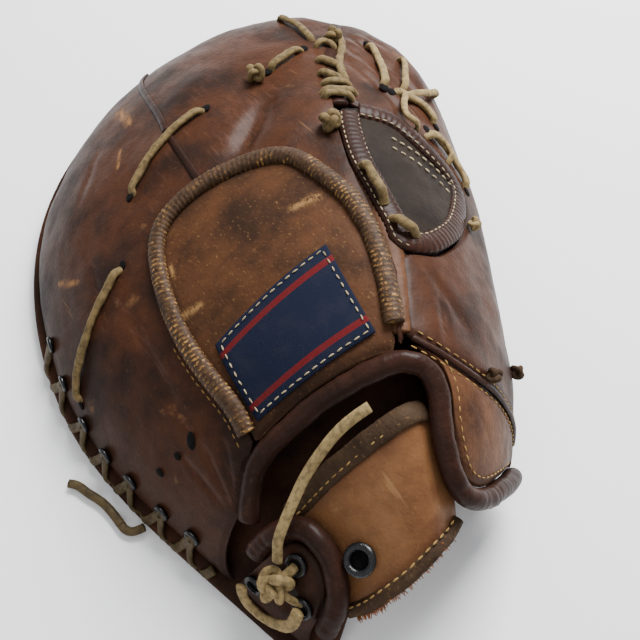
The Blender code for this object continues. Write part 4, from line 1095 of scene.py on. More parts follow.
def panel(node, material_name, slot_name, grid, depth=0.0, thick=LEATHER, dip=SEAM_DIP, calm=1.0,
          ending="_leather", rim=0.0):
    """A leather panel with creases, rumples and edges that sink into their seams. By rim it paints shade
    towards the outer rim.
    """
    flat = grid.reshape(-1, 2)
    base = at_depth(flat, depth)
    away = edge_distance(base.reshape(grid.shape[0], grid.shape[1], 3)).ravel()
    sunk = dip * np.exp(-(away / SEAM_DIP_REACH) ** 2)
    lift = crease_height(base) * calm * (1.0 - np.exp(-(away / CREASE_FADE) ** 2))
    upper = at_depth(flat, depth + sunk - lift)
    lower = at_depth(flat, depth + thick)
    # Painted shade: the colour darkens towards the outer rim, where the lobe rolls away from the light.
    rim_shade_share = np.clip((np.abs(flat[:, 1]) - RIM_SHADE_FROM) / (1.0 - RIM_SHADE_FROM), 0.0, 1.0)
    edge = np.maximum(np.exp(-(away / EDGE_REACH) ** 2), rim * rim_shade_share)
    bm = grid_piece(grid.shape[:2], upper, lower, edge, folded=line_mask(base, CREASES),
                    scuffed=line_mask(base, SCUFFS))
    return make_piece(bm, node, ending, material_name, slot_name, node)


opening = along_rows(OPENING_LINE, 8)
strap_lines = along_rows(STRAP_ROWS, 14)


def beside_opening(rows, gap=SEAM_GAP):
    """Places beside the opening binding at the given rows of its line."""
    side = shifted(opening[:, 0:2], BINDING_RADIUS + gap)
    at = np.array(rows, dtype=float) * 8.0
    knots = np.arange(len(side), dtype=float)
    return np.stack([np.interp(at, knots, side[:, k]) for k in range(2)], axis=1)


def finer(line, parts):
    """A line of shares with parts places in each step, read straight."""
    return along_rows(line, parts, True)


welt = along_rows(WELT_LINE, 2)
back_start = along_rows(FINGER_WRIST_END, 2, True)
back_inner = np.vstack([beside_opening(back_start[:, 0]), shifted(welt, SEAM_GAP), [FINGER_LAST[0:2]]])
back_outer = np.vstack([back_start[:, 1:3], along_rows(FINGER_OUTER, 2, True), [FINGER_LAST[2:4]]])
back_grid = ruled(finer(back_inner, 6), finer(back_outer, 6), 110)
# The finger back gets the full painted rim shade, the thumb back a little less.
panel("finger_back", "lobe_leather", "finger_leather", back_grid, rim=1.0)

panel_rows = along_rows([(row,) for row in PANEL_LOWER], 2, True)[:, 0]
hand_grid = ruled(finer(shifted(welt, -SEAM_GAP), 4), finer(beside_opening(panel_rows), 4), 90)
panel("hand_panel", "panel_leather", "panel_leather", hand_grid, calm=0.8)

thumb = along_rows(THUMB_ROWS, 9)
thumb_grid = ruled(thumb[:, 0:2], thumb[:, 4:6], 110, thumb[:, 2:4])
panel("thumb_back", "lobe_leather", "finger_leather", thumb_grid, rim=0.6)

heel = along_rows(HEEL_ROWS, 12)
heel_grid = ruled(heel[:, 0:2], beside_opening(heel[:, 2], 2.0 * SEAM_GAP), 40)
panel("thumb_heel", "heel_leather", "panel_leather", heel_grid)

web = along_rows(WEB_ROWS, 10)
panel("web", "web_leather", "web_leather", ruled(web[:, 0:2], web[:, 2:4], 70))

tab = along_rows(TAB_ROWS, 8)
panel("wrist_tab", "lobe_leather", "finger_leather", ruled(tab[:, 0:2], tab[:, 2:4], 36))

strap_grid = ruled(strap_lines[:, 0:2], strap_lines[:, 2:4], 60)
strap_depth = np.repeat(strap_lines[:, 4], 61)
panel("wrist_strap", "strap_leather", "strap_leather", strap_grid, strap_depth, STRAP_THICK, 0.0006, 0.5)

# %% [markdown]
# The label is a small woven cloth sewn flat on the panel. It is modelled as a thin sheet
# over the same surface, so it follows the swell of the hand. Its face is left bare.

# %% Label
corners = np.array(LABEL_CORNERS)
label_top = np.linspace(corners[0], corners[1], 61)
label_low = np.linspace(corners[3], corners[2], 61)
label_depth = -LABEL_THICK - 0.0007
label = panel("label", "label_cloth", "label_fabric", ruled(label_top, label_low, 40), label_depth,
              LABEL_THICK, 0.0002, 0.0, "_cloth")


def side_length(start, end):
    """How long the straight run between two shares is along the surface."""
    line = np.linspace(start, end, 61)
    places = layer(line[:, 0], line[:, 1], 0.0)
    return float(np.linalg.norm(np.diff(places, axis=0), axis=1).sum())


label_flat = ((side_length(corners[0], corners[1]) + side_length(corners[3], corners[2])) / 2.0,
              (side_length(corners[0], corners[3]) + side_length(corners[1], corners[2])) / 2.0)
print("label is cut to", [round(x, 4) for x in label_flat])

# %% [markdown]
# The palm is one thick padded sheet. It goes round both rims as a soft roll, and is split
# under the web. A few rows and a Subdivision Surface keep its roll round and smooth.

# %% Palm
PALM_ROWS = np.array([-0.022, 0.03, 0.08, 0.135, 0.19, 0.245, 0.295, 0.330, SPLIT_START, 0.375, 0.420,
                      0.470, 0.525, 0.575, 0.620, 0.668, 0.740, 0.815, 0.885, 0.945, 1.0])
PALM_FINGER_STEPS = 9
PALM_THUMB_STEPS = 7


def palm_grid():
    """The palm's grid of shares, with three steps past each rim for the roll."""
    rows = []
    for w in PALM_ROWS:
        fingers = np.linspace(-1.0, float(column(SPLIT, 1, w)), PALM_FINGER_STEPS + 1)
        thumbs = np.linspace(float(column(SPLIT, 2, w)), 1.0, PALM_THUMB_STEPS + 1)
        across = np.concatenate([[-1.3, -1.2, -1.1], fingers, thumbs, [1.1, 1.2, 1.3]])
        at_w = np.full(len(across), w)
        if w < PALM_HEEL_REACH:
            start_w = column(PALM_HEEL, 1, across)
            share = np.clip((w - PALM_ROWS[0]) / (PALM_HEEL_REACH - PALM_ROWS[0]), 0.0, 1.0)
            at_w = start_w + share * (PALM_HEEL_REACH - start_w)
        rows.append(np.stack([at_w, across], axis=1))
    return np.array(rows)


palm_shares = palm_grid()
palm_flat = palm_shares.reshape(-1, 2)
palm_split_row = int(np.argmin(np.abs(PALM_ROWS - SPLIT_START)))
palm_mesh = grid_piece(palm_shares.shape[:2], palm_face(palm_flat[:, 0], palm_flat[:, 1], False),
                       palm_face(palm_flat[:, 0], palm_flat[:, 1], True), np.zeros(len(palm_flat)),
                       lambda i, j: not (j == 3 + PALM_FINGER_STEPS and i >= palm_split_row))
palm = make_piece(palm_mesh, "palm", "_padding", "palm_leather", "palm_leather", "palm")
smooth = palm.modifiers.new("smooth", "SUBSURF")
smooth.levels = 2
smooth.render_levels = 2

# %% [markdown]
# Welts and rolled bindings are tubes that follow a line on the leather. Their rings are
# swollen a little differently along the way, which gives ribs or small pinches. A curve
# with a bevel is quicker, but its thickness can't follow two patterns at once.

# %% Bindings and welts
# Half width and rise of the rolls and strips that are flatter than their solids.
STRAP_TOP_ROLL = (0.0044, 0.0016)
STRAP_LOWER_ROLL = (0.0030, 0.0020)
THUMB_SEAM_ROLL = (0.0014, 0.0010)
GAP_ROLL = (0.0042, 0.0016)
STRIP_ROLL = (0.0017, 0.0009)
TIP_ROLL = (0.0050, 0.0024)
STRAP_PARTS = 7


def tube_piece(path, up, half, rise, swell=None, sides=FULL_SIDES, closed=False):
    """A tube whose size is changed by swell at each ring and side. A closed one meets its start."""
    count = len(path)
    steps = count if closed else count - 1
    turn = np.arange(sides) * 2.0 * math.pi / sides
    way = np.roll(path, -1, axis=0) - np.roll(path, 1, axis=0) if closed else np.gradient(path, axis=0)
    tangent = unit(way)
    side = unit(np.cross(tangent, up))
    high = unit(np.cross(side, tangent))
    size = np.ones((count, sides)) if swell is None else swell
    rings = (path[:, None, :] + side[:, None, :] * (np.cos(turn)[None, :] * half * size)[:, :, None]
             + high[:, None, :] * (np.sin(turn)[None, :] * rise * size)[:, :, None])
    low, top = float(size.min()), float(size.max())
    bm = bmesh.new()
    mask = bm.verts.layers.float.new("edge")
    bmesh.ops.create_grid(bm, x_segments=steps, y_segments=sides, size=1.0)
    for vert in bm.verts:
        i = int(round((vert.co.x + 1.0) / 2.0 * steps)) % count
        j = int(round((vert.co.y + 1.0) / 2.0 * sides)) % sides
        vert[mask] = (size[i, j] - low) / max(top - low, 1e-6)
        vert.co = Vector(rings[i, j])
    bmesh.ops.remove_doubles(bm, verts=bm.verts[:], dist=1e-6)
    if not closed:
        bmesh.ops.holes_fill(bm, edges=[e for e in bm.edges if e.is_boundary], sides=0)
    return bm


def even_line(rows, step):
    """A smooth line of shares, read at even steps of length on the leather."""
    line = along_rows(rows, 12)
    far = travelled(at_depth(line))
    at = np.linspace(0.0, far[-1], max(int(far[-1] / step), 4) + 1)
    return np.stack([np.interp(at, far, line[:, k]) for k in range(line.shape[1])], axis=1), at


def uneven(at, pace, seed, more):
    """Smooth chance values along a way."""
    return np.array([noise.noise(Vector((x * pace, seed, more))) for x in at])


def ribbed(pitch, deep, slant, sides=FULL_SIDES):
    """A pattern of slanted ribs, not quite even."""
    def pattern(at):
        turn = np.arange(sides) * 2.0 * math.pi / sides
        phase = at[:, None] / pitch * 2.0 * math.pi + slant * np.cos(turn)[None, :]
        return 1.0 + deep * np.sin(phase + uneven(at, 160.0, 2.0, 0.0)[:, None] * 1.6)
    return pattern


def pinched(seed, sides=FULL_SIDES):
    """A pattern of small uneven swellings, as on a rolled binding."""
    turn = np.arange(sides) * 2.0 * math.pi / sides

    def pattern(at):
        return np.array([[1.0 + 0.10 * noise.noise(Vector((x * 130.0, seed, math.cos(a) * 0.8)))
                          + 0.05 * noise.noise(Vector((x * 520.0, seed, math.sin(a) * 1.4)))
                          for a in turn] for x in at])
    return pattern


def on_back(node, rows, depth, half, rise, pattern, material_name="binding_leather",
            slot_name="binding_leather", step=0.0007, ending="_roll", solid=True):
    """A tube on the back. It stands for the solid of its name, unless solid is False."""
    line, at = even_line(rows, step)
    path = at_depth(line, line[:, 2] if line.shape[1] > 2 else depth)
    bm = tube_piece(path, facing(line), half, rise, pattern(at))
    return make_piece(bm, node, ending, material_name, slot_name, *([node] if solid else []))


def strap_edge(first, away, start, end, lift):
    """A line beside an edge of the strap, with its depths. Column 0 is the upper edge, 2 the lower."""
    used = slice(start, end, STRAP_PARTS)
    moved = shifted(strap_lines[:, first:first + 2], away)
    return np.hstack([moved[used], strap_lines[used, 4:5] + lift])


on_back("panel_welt", welt[1:-1], -0.0010, WELT_HALF * 0.98, WELT_RISE * 1.05,
        ribbed(0.0022, 0.030, 1.3), "welt_leather", "welt_leather", 0.0005)
on_back("opening_binding", OPENING_LINE, 0.0, BINDING_RADIUS, BINDING_RADIUS, pinched(1.0))
on_back("tab_binding", TAB_LINE, 0.0010, TAB_BINDING_RADIUS * 1.1, TAB_BINDING_RADIUS * 1.1, pinched(5.0))
strap_lift = STRAP_THICK * 0.25
on_back("strap_binding_top", strap_edge(0, 0.0030, 14, 118, strap_lift), 0.0, *STRAP_TOP_ROLL,
        pinched(9.0), material_name="worn_binding_leather")
on_back("strap_binding_lower", strap_edge(2, -0.0014, 19, 125, strap_lift), 0.0, *STRAP_LOWER_ROLL,
        pinched(9.0), material_name="worn_binding_leather")
on_back("thumb_seam_welt", THUMB_SEAM_LINE, -0.0002, *THUMB_SEAM_ROLL, pinched(14.0))
border_rows = np.array([row[0:2] for row in WEB_ROWS][::-1] + [row[2:4] for row in WEB_ROWS])
border_edge = along_rows(border_rows[1:], 1)
on_back("web_border", shifted(border_edge, 0.0045), -0.0002, WEB_BORDER_HALF * 1.25,
        WEB_BORDER_RISE * 0.80, ribbed(0.0030, 0.045, 0.5), slot_name="welt_leather")
GAP_LINE = [(0.645, 0.085), (0.576, 0.085), (0.492, 0.090), (0.412, 0.105), (0.354, 0.112),
            (0.297, 0.075), (0.240, 0.024)]
on_back("finger_seam", GAP_LINE, 0.0018, *GAP_ROLL, pinched(33.0), "heel_leather", solid=False)
STRIP_ROWS = {
    "back_strip_upper": [(0.768, -0.800), (0.745, -0.720), (0.720, -0.630), (0.694, -0.550),
                         (0.660, -0.472), (0.626, -0.424)],
    "back_strip_lower": [(0.622, -0.419), (0.597, -0.390), (0.564, -0.360), (0.536, -0.338)],
}
for strip_node, strip_rows in STRIP_ROWS.items():
    on_back(strip_node, strip_rows, -0.0003, *STRIP_ROLL, pinched(21.0), ending="_strip")

# %% [markdown]
# A rawhide lace comes up through a hole, lies over the leather and dives into the next
# hole. It is flat, a little twisted, and never quite even. Both ends sink into the
# leather here, so it looks threaded and not glued on.

# %% Laces on the back
LACE_SINK = 0.0048
LACE_SINK_REACH = 0.0026
LACE_WAVE = 0.0007
LACE_TWIST = 0.7
LACE_DEPTH = -LACE_RISE - SEAT_GAP * 0.4
BORDER_TOP = WIDE_SEAT_GAP + WEB_BORDER_RISE


def lace_swell(at, seed, sides=FULL_SIDES):
    """Uneven width of a rawhide strand."""
    turn = np.arange(sides) * 2.0 * math.pi / sides
    return np.array([[1.0 + 0.16 * noise.noise(Vector((x * 210.0, seed, 0.0)))
                      + 0.10 * noise.noise(Vector((x * 700.0, seed, math.cos(a))))
                      for a in turn] for x in at])


def lace(node, rows, depth, material_name, seed, half=LACE_HALF, rise=LACE_RISE, solid=True):
    """A flat lace along a line of shares, with both ends in their holes."""
    line, at = even_line(rows, 0.0008)
    at_ends = [np.exp(-(way / LACE_SINK_REACH) ** 2) for way in (at, at[-1] - at)]
    sink = LACE_SINK * (at_ends[0] + at_ends[1])
    wave = LACE_WAVE * uneven(at, 90.0, seed, 3.0)
    path = at_depth(line, depth + sink - np.abs(wave))
    up = facing(line)
    side = unit(np.cross(np.gradient(path, axis=0), up))
    twist = LACE_TWIST * uneven(at, 60.0, seed, 7.0)
    bm = tube_piece(path, unit(up + side * twist[:, None]), half, rise, lace_swell(at, seed))
    return make_piece(bm, node, "_strand", material_name, "lace_rawhide", *([node] if solid else []))


for seed, (lace_node, lace_rows, lace_depth, lace_look) in enumerate((
        ("back_lace_upper", BACK_LACE_UPPER, LACE_DEPTH, "old_rawhide"),
        ("back_lace_lower", BACK_LACE_LOWER, LACE_DEPTH, "old_rawhide"),
        ("index_lace", INDEX_LACE, LACE_DEPTH, "old_rawhide"),
        ("tip_lace_upper", TIP_LACE_UPPER, LACE_DEPTH, "old_rawhide"),
        ("tip_lace_lower", TIP_LACE_LOWER, LACE_DEPTH, "old_rawhide"),
        ("thumb_lace_long", THUMB_LACE_LONG, LACE_DEPTH, "rawhide"),
        ("thumb_lace_cross", THUMB_LACE_CROSS, LACE_DEPTH, "rawhide"),
        ("thumb_lace_short", THUMB_LACE_SHORT, LACE_DEPTH, "rawhide"),
        ("web_lace_upper", WEB_LACE_UPPER, LACE_DEPTH - BORDER_TOP, "old_rawhide"),
        ("web_lace_lower", WEB_LACE_LOWER, LACE_DEPTH - BORDER_TOP, "old_rawhide"))):
    lace(lace_node, lace_rows, lace_depth, lace_look, 10.0 + seed)
LOOSE_STRANDS = [
    # the rows of a strand that is only in this picture: w, t
    [(0.855, 0.490), (0.820, 0.465), (0.788, 0.440), (0.734, 0.410)],
    [(0.717, 0.400), (0.735, 0.490), (0.751, 0.570), (0.780, 0.680)],
    [(0.722, 0.405), (0.685, 0.360), (0.650, 0.350), (0.636, 0.390), (0.630, 0.425)],
    [(0.616, 0.435), (0.619, 0.510), (0.604, 0.550), (0.573, 0.550)],
]
for seed, strand_rows in enumerate(LOOSE_STRANDS):
    lace("thumb_strand_%d" % (seed + 1), strand_rows, LACE_DEPTH - 0.0010, "rawhide", 80.0 + seed,
         0.0018, 0.0012, False)

# %% [markdown]
# A knot is a strand that passes over and under itself. The trefoil is the simplest closed
# curve that does so, and at this size it reads as a pulled overhand knot.

# %% Knots
KNOT_STEPS = 96
KNOT_SIDES = 12


def join_into(target, source):
    """Move one bmesh's shape into another."""
    carrier = bpy.data.meshes.new("carrier")
    source.to_mesh(carrier)
    source.free()
    target.from_mesh(carrier)
    bpy.data.meshes.remove(carrier)


def frame_at(place, depth=0.0):
    """Centre and three directions on the leather: along, aside and out."""
    w, t = np.array([place[0]]), np.array([place[1]])
    up = outward(w, t)[0]
    along = unit(np.cross(up[None, :], np.array([[0.3, 0.9, 0.1]])))[0]
    return layer(w, t, depth)[0], along, np.cross(up, along), up


def trefoil(centre, along, aside, up, size, strand, turn=0.0, rise=0.45):
    """A knotted strand, size across, with its flat side on the leather."""
    a = np.linspace(0.0, 2.0 * math.pi, KNOT_STEPS, endpoint=False)
    x = (np.sin(a) + 2.0 * np.sin(2.0 * a)) / 3.0
    y = (np.cos(a) - 2.0 * np.cos(2.0 * a)) / 3.0
    z = -np.sin(3.0 * a)
    c, s = math.cos(turn), math.sin(turn)
    reach = size - strand
    path = (centre[None, :] + along[None, :] * ((x * c - y * s) * reach)[:, None]
            + aside[None, :] * ((x * s + y * c) * reach)[:, None] + up[None, :] * (z * size * rise)[:, None])
    ups = np.tile(up[None, :] + along[None, :] * 0.13, (len(path), 1))
    return tube_piece(path, ups, strand, strand * 0.8, sides=KNOT_SIDES, closed=True)


for k, (knot_node, knot_place, knot_size, knot_strand, knot_look, knot_slot) in enumerate((
        ("finger_knot", FINGER_KNOT, 0.0052, 0.0019, "old_rawhide", "lace_rawhide"),
        ("web_knot", WEB_KNOT, 0.0054, 0.0020, "old_rawhide", "lace_rawhide"),
        ("tip_knot", TIP_KNOT, 0.0050, 0.0018, "old_rawhide", "lace_rawhide"),
        ("thumb_knot_inner", THUMB_KNOT_INNER, 0.0036, 0.0014, "worn_binding_leather", "binding_leather"),
        ("thumb_knot_outer", THUMB_KNOT_OUTER, 0.0036, 0.0014, "worn_binding_leather", "binding_leather"))):
    centre, along, aside, up = frame_at(knot_place)
    shape = trefoil(centre + up * knot_size * 0.75, along, aside, up, knot_size, knot_strand, 0.8 * k)
    make_piece(shape, knot_node, "_tied", knot_look, knot_slot, knot_node)

WEB_SIDE_KNOT = (0.437, 0.556)
centre, along, aside, up = frame_at(WEB_SIDE_KNOT)
small_knot = trefoil(centre + up * 0.0030, along, aside, up, 0.0034, 0.0013, 2.0)
make_piece(small_knot, "web_side_knot", "_tied", "rawhide", "lace_rawhide")

# %% [markdown]
# At the wrist the rawhide goes through the tab's eyelets and is tied over them. The knot is
# two crossing knots pulled together, and the strands that feed it lie beside it.

# %% Tie at the wrist
centre, along, aside, up = frame_at(TIE_KNOT)
lift = TAB_EYELET_WIRE + SEAT_GAP + TIE_KNOT_HIGH
tie = trefoil(centre + up * lift, along, aside, up, 0.0078, 0.0021, 0.4, 0.30)
second_centre = centre + up * (lift + 0.0022) + along * 0.0026
join_into(tie, trefoil(second_centre, along, aside, up, 0.0058, 0.0018, 1.6, 0.30))
for place in TAB_EYELETS:
    far = frame_at(place, 0.0012)[0]
    q = np.linspace(0.0, 1.0, 20)[:, None]
    strand = (centre + up * lift * 0.9) * (1.0 - q) + far * q + up[None, :] * np.sin(q * math.pi) * 0.0022
    join_into(tie, tube_piece(strand, np.tile(up, (20, 1)), 0.0020, 0.0013, sides=10))
make_piece(tie, "tie_knot", "_tied", "rawhide", "lace_rawhide", "tie_knot")
on_back("tie_loop", TIE_LOOP, -0.0058, 0.0026, LACE_RISE, lambda at: lace_swell(at, 40.0), "rawhide",
        "lace_rawhide", 0.0008, "_strand")

# %% [markdown]
# Two lace ends lie free. They keep the routes of their solids.

# %% Free lace ends
def free_end(node, path, up, half, rise, material_name):
    """A free lace end along its route."""
    made = make_piece(tube_piece(path, up, half, rise), node, "_strand", material_name, "lace_rawhide", node)
    return made


end_rows = along_rows(TIE_END, 12)
free_end("tie_lace_end", at_depth(end_rows, -end_rows[:, 2]), facing(end_rows), TIE_RADIUS, 0.0014, "rawhide")
NEARLY_UP = np.array([0.1, 0.1, 1.0])
rim_end_path = along_rows(RIM_END, 10) * SCALE[0:3]
free_end("rim_lace_end", rim_end_path, np.tile(NEARLY_UP, (len(rim_end_path), 1)), RIM_END_RADIUS, 0.0016,
         "dark_rawhide")
# From the free end to under the edge of the palm, as x, y and z shares of the named sizes.
RIM_LEAD = [(-0.5185, -0.1665, 0.026), (-0.5170, -0.1760, 0.026), (-0.5080, -0.1850, 0.030),
            (-0.4900, -0.1900, 0.040)]
lead_path = along_rows(RIM_LEAD, 8) * SCALE[0:3]
lead_mesh = tube_piece(lead_path, np.tile(NEARLY_UP, (len(lead_path), 1)), RIM_END_RADIUS * 0.98, 0.0015)
make_piece(lead_mesh, "rim_lace_lead", "_strand", "dark_rawhide", "lace_rawhide")

# %% [markdown]
# Round the finger rim one long lace whips the back to the palm: out of an eyelet, over
# the edge, down the roll and up again to the next eyelet. The route is worked out from the
# eyelets, so it always threads them.

# %% Rim lacing
# Share of the way to the next eyelet, and place: 0 in the hole, 1 by the edge, 2 outside, 3 under.
RIM_TURN = [(0.00, 0), (0.10, 1), (0.28, 2), (0.45, 3), (0.58, 3), (0.74, 2), (0.90, 1)]
RIM_LACE_END = (0.125, -0.86)


def rim_point(w, kind, eyelet_t):
    """One point of the rim lacing."""
    place = np.array([w])
    if kind == 0:
        return layer(place, np.array([eyelet_t]), -0.0012)[0]
    rim_z = float(cubic_at(KNOTS, VALUES, BENDS, place)[0][0, 2])
    out = (0.0, 0.0008, RIM_ROLL_FINGER - 0.0010, RIM_ROLL_FINGER - 0.0018)[kind]
    high = (0.0, rim_z + 0.0026, rim_z * 0.72, 0.0026)[kind]
    point = skin(place, np.array([-1.0]), -out, 0.0)[0]
    point[2] = high
    return point


rim_route = []
for (w0, t0), (w1, t1) in zip(RIM_EYELETS, RIM_EYELETS[1:] + [RIM_LACE_END]):
    for share, kind in RIM_TURN:
        rim_route.append(rim_point(w0 + (w1 - w0) * share, kind, t0))
rim_path = along_rows(rim_route, 8)
rim_core = rim_path.copy()
rim_core[:, 0] += 0.010
rim_core[:, 2] = 0.004
rim_swell = lace_swell(travelled(rim_path), 70.0, 12)
rim_mesh = tube_piece(rim_path, unit(rim_path - rim_core), 0.0022, 0.0011, rim_swell, 12)
make_piece(rim_mesh, "rim_lace", "_strand", "dark_rawhide", "lace_rawhide", "rim_lace")

# %% [markdown]
# Eyelets are painted metal rings with a hole. A ring is a small round section carried
# round a circle, which a spin does, and the shade in the hole is painted as a dark disc just under its lip.

# %% Eyelets and holes
RING_STEPS = 40
RING_SIDES = 14


def eyelet(node, place, radius, wire, depth):
    """A spun ring that lies on the leather."""
    centre, along, aside, up = frame_at(place, depth)
    bm = bmesh.new()
    turned = Matrix((tuple(along), tuple(up), tuple(aside))).transposed().to_4x4()
    turned.translation = Vector(centre + along * radius)
    made = bmesh.ops.create_circle(bm, segments=RING_SIDES, radius=wire, matrix=turned)
    bmesh.ops.spin(bm, geom=made["verts"] + bm.edges[:], cent=Vector(centre), axis=Vector(up),
                   angle=2.0 * math.pi, steps=RING_STEPS, use_merge=True)
    bmesh.ops.remove_doubles(bm, verts=bm.verts[:], dist=1e-6)
    return make_piece(bm, node, "_ring", "eyelet_paint", "eyelet_metal", node)


def hole_shade_disc(bm, place, radius, longer=1.0, turn=0.0, depth=-0.0003):
    """Painted shade for a hole: a flat dark disc a hair over the leather."""
    centre, along, aside, up = frame_at(place, depth)
    c, s = math.cos(turn), math.sin(turn)
    first = (along * c + aside * s) * radius * longer
    second = (aside * c - along * s) * radius
    shape = Matrix((tuple(first), tuple(second), tuple(up * 0.0006))).transposed().to_4x4()
    shape.translation = Vector(centre)
    bmesh.ops.create_uvsphere(bm, u_segments=20, v_segments=8, radius=1.0, matrix=shape)


holes = bmesh.new()
for row_name, places, ring_radius, wire, hole_radius in (
        ("rim", RIM_EYELETS, RIM_EYELET_RADIUS * 0.9, RIM_EYELET_WIRE, RIM_EYELET_RADIUS),
        ("tab", TAB_EYELETS, TAB_EYELET_RADIUS, TAB_EYELET_WIRE, TAB_EYELET_RADIUS)):
    for k, place in enumerate(places):
        eyelet("%s_eyelet_%02d" % (row_name, k + 1), place, ring_radius, wire, -wire)
        hole_shade_disc(holes, place, hole_radius)
eyelet("strap_eyelet", STRAP_EYELET, STRAP_EYELET_RADIUS, STRAP_EYELET_WIRE,
       0.0020 - STRAP_EYELET_WIRE - SEAT_GAP)
hole_shade_disc(holes, STRAP_EYELET, STRAP_EYELET_RADIUS, depth=0.0016)
# Holes in the back leather, each shown by a disc of painted shade.
BACK_HOLES = [
    # w,    t,      radius, how much longer, turn
    (0.245, -0.595, 0.0022, 1.9, 0.9),
    (0.242, -0.655, 0.0018, 1.0, 0.0),
    (0.242, -0.740, 0.0021, 1.0, 0.0),
]
for hole_w, hole_t, radius, longer, turn in BACK_HOLES:
    hole_shade_disc(holes, (hole_w, hole_t), radius, longer, turn)
# Painted shade in the holes where the laces go in.
for rows in (BACK_LACE_UPPER, BACK_LACE_LOWER, INDEX_LACE, THUMB_LACE_LONG, THUMB_LACE_CROSS,
             THUMB_LACE_SHORT):
    for place in (rows[0], rows[-1]):
        hole_shade_disc(holes, place, 0.0026)
# All the painted hole shade is one mesh.
make_piece(holes, "lace", "_painted_hole_shade", "painted_hole_shade", "eyelet_metal")

# %% [markdown]
# A stitch is a short thread that dips into the leather at both ends. Hundreds are needed,
# so each is one small stretched ball of few faces, and every row is one joined mesh.

# %% Stitches
STITCHES = {
    # seam: pitch, length and radius of one stitch
    "label": (0.0036, 0.0027, 0.00036),
    "welt": (0.0036, 0.0025, 0.00032),
    "heel": (0.0036, 0.0026, 0.00036),
    "thumb_seam": (0.0040, 0.0028, 0.00036),
    "web_border": (0.0034, 0.0025, 0.00034),
    "web": (0.0040, 0.0029, 0.0005),
    "strap": (0.0038, 0.0028, 0.0004),
}
LABEL_INSET = 0.085


def stitch_row(name, material_name, line, depth, pitch, length, radius, uneven=0.25):
    """A row of stitches along a line of shares."""
    rows, at = even_line(line, pitch)
    rows = (rows[:-1] + rows[1:]) / 2.0
    path = at_depth(rows, rows[:, 2] if rows.shape[1] > 2 else depth)
    up = facing(rows)
    tangent = unit(np.gradient(path, axis=0))
    bm = bmesh.new()
    for k in range(len(path)):
        swing = uneven * noise.noise(Vector((k * 1.7, depth * 900.0, 5.0)))
        side = unit(np.cross(up[k], tangent[k])[None, :])[0]
        way = unit((tangent[k] + side * swing)[None, :])[0]
        side = unit(np.cross(up[k], way)[None, :])[0]
        sides = (tuple(way * length / 2.0), tuple(side * radius), tuple(up[k] * radius))
        shape = Matrix(sides).transposed().to_4x4()
        shape.translation = Vector(path[k])
        bmesh.ops.create_uvsphere(bm, u_segments=6, v_segments=6, radius=1.0, matrix=shape)
    return make_piece(bm, name, "_stitches", material_name, "lace_rawhide")


def inset_side(first, second, inset, parts=10):
    """A side of the label, drawn in towards the middle of the label."""
    middle = corners.mean(axis=0)
    a = corners[first] + (middle - corners[first]) * inset
    b = corners[second] + (middle - corners[second]) * inset
    return np.linspace(a, b, parts)


for k in range(4):
    stitch_row("label_side_%d" % (k + 1), "cream_thread", inset_side(k, (k + 1) % 4, LABEL_INSET), -0.0017,
               *STITCHES["label"])
welt_side = shifted(along_rows(WELT_LINE, 4), WELT_HALF + 0.0022)[:16]
stitch_row("panel_welt", "gold_thread", welt_side, -0.0001, *STITCHES["welt"])
heel_row = beside_opening(np.array([row[2] for row in HEEL_ROWS[:-1]]), 0.0042)
stitch_row("heel", "gold_thread", heel_row, -0.0002, *STITCHES["heel"])
seam_line = along_rows(THUMB_SEAM_LINE, 4)
for side_name, side_away in (("upper", 0.0034), ("lower", -0.0034)):
    stitch_row("thumb_seam_" + side_name, "gold_thread", shifted(seam_line, side_away), -0.0001,
               *STITCHES["thumb_seam"])
for side_name, side_away in (("outer", 0.0012), ("inner", 0.0082)):
    stitch_row("web_border_" + side_name, "cream_thread", shifted(border_edge, side_away), -0.0014,
               *STITCHES["web_border"])
for row_name, lines in (("one", [(0.590, 0.250), (0.553, 0.385), (0.510, 0.510)]),
                        ("two", [(0.566, 0.238), (0.530, 0.360), (0.488, 0.480)]),
                        ("tip", [(0.599, 0.095), (0.640, 0.150), (0.668, 0.205)])):
    stitch_row("web_row_" + row_name, "cream_thread", np.array(lines), -0.0002, *STITCHES["web"], 0.5)
for row_name, line in (("strap_top", strap_edge(0, 0.0008, 16, 118, -0.0010)),
                       ("strap_low", strap_edge(2, 0.0002, 22, 124, -0.0016))):
    stitch_row(row_name, "gold_thread", line, 0.0, *STITCHES["strap"])

# %% [markdown]
# The strap's lower edge is worn through, and orange fibres stand out of it. Hair would be
# quicker, but short cones stay in the mesh and can be exported.

# %% Frayed edge
FIBRES = 150
FIBRE_LENGTH = 0.0034
FIBRE_RADIUS = 0.00045
draw = random.Random(11)
fray = bmesh.new()
fray_rows = np.hstack([shifted(strap_lines[:, 2:4], -0.0040), shifted(strap_lines[:, 2:4], -0.0060),
                       strap_lines[:, 4:5]])
fray_line = even_line(fray_rows[24:124:7], 0.0004)[0]
fray_up = facing(fray_line)
fray_path = at_depth(fray_line, fray_line[:, 4])
fray_side = unit(at_depth(fray_line[:, 2:4], fray_line[:, 4]) - fray_path)
for _ in range(FIBRES):
    k = int(len(fray_path) * draw.random() ** 1.2)
    way = Vector(fray_side[k]) * draw.choice((1.0, 0.8)) + Vector(fray_up[k]) * draw.uniform(-0.5, 0.9)
    way += Vector([draw.uniform(-0.5, 0.5) for _ in range(3)])
    turned = way.to_track_quat("Z", "Y").to_matrix().to_4x4()
    turned.translation = Vector(fray_path[k])
    long = FIBRE_LENGTH * draw.uniform(0.6, 1.6)
    bmesh.ops.create_cone(fray, cap_ends=True, segments=5, radius1=FIBRE_RADIUS,
                          radius2=FIBRE_RADIUS * 0.3, depth=long, matrix=turned)
make_piece(fray, "strap_binding_lower", "_fray", "frayed_hide", "binding_leather")

# %% [markdown]
# The tips of the two lobes are drawn together by lacing. A dark rolled edge fills the slit
# between them, and short laces cross it, each a little out of line with the last.

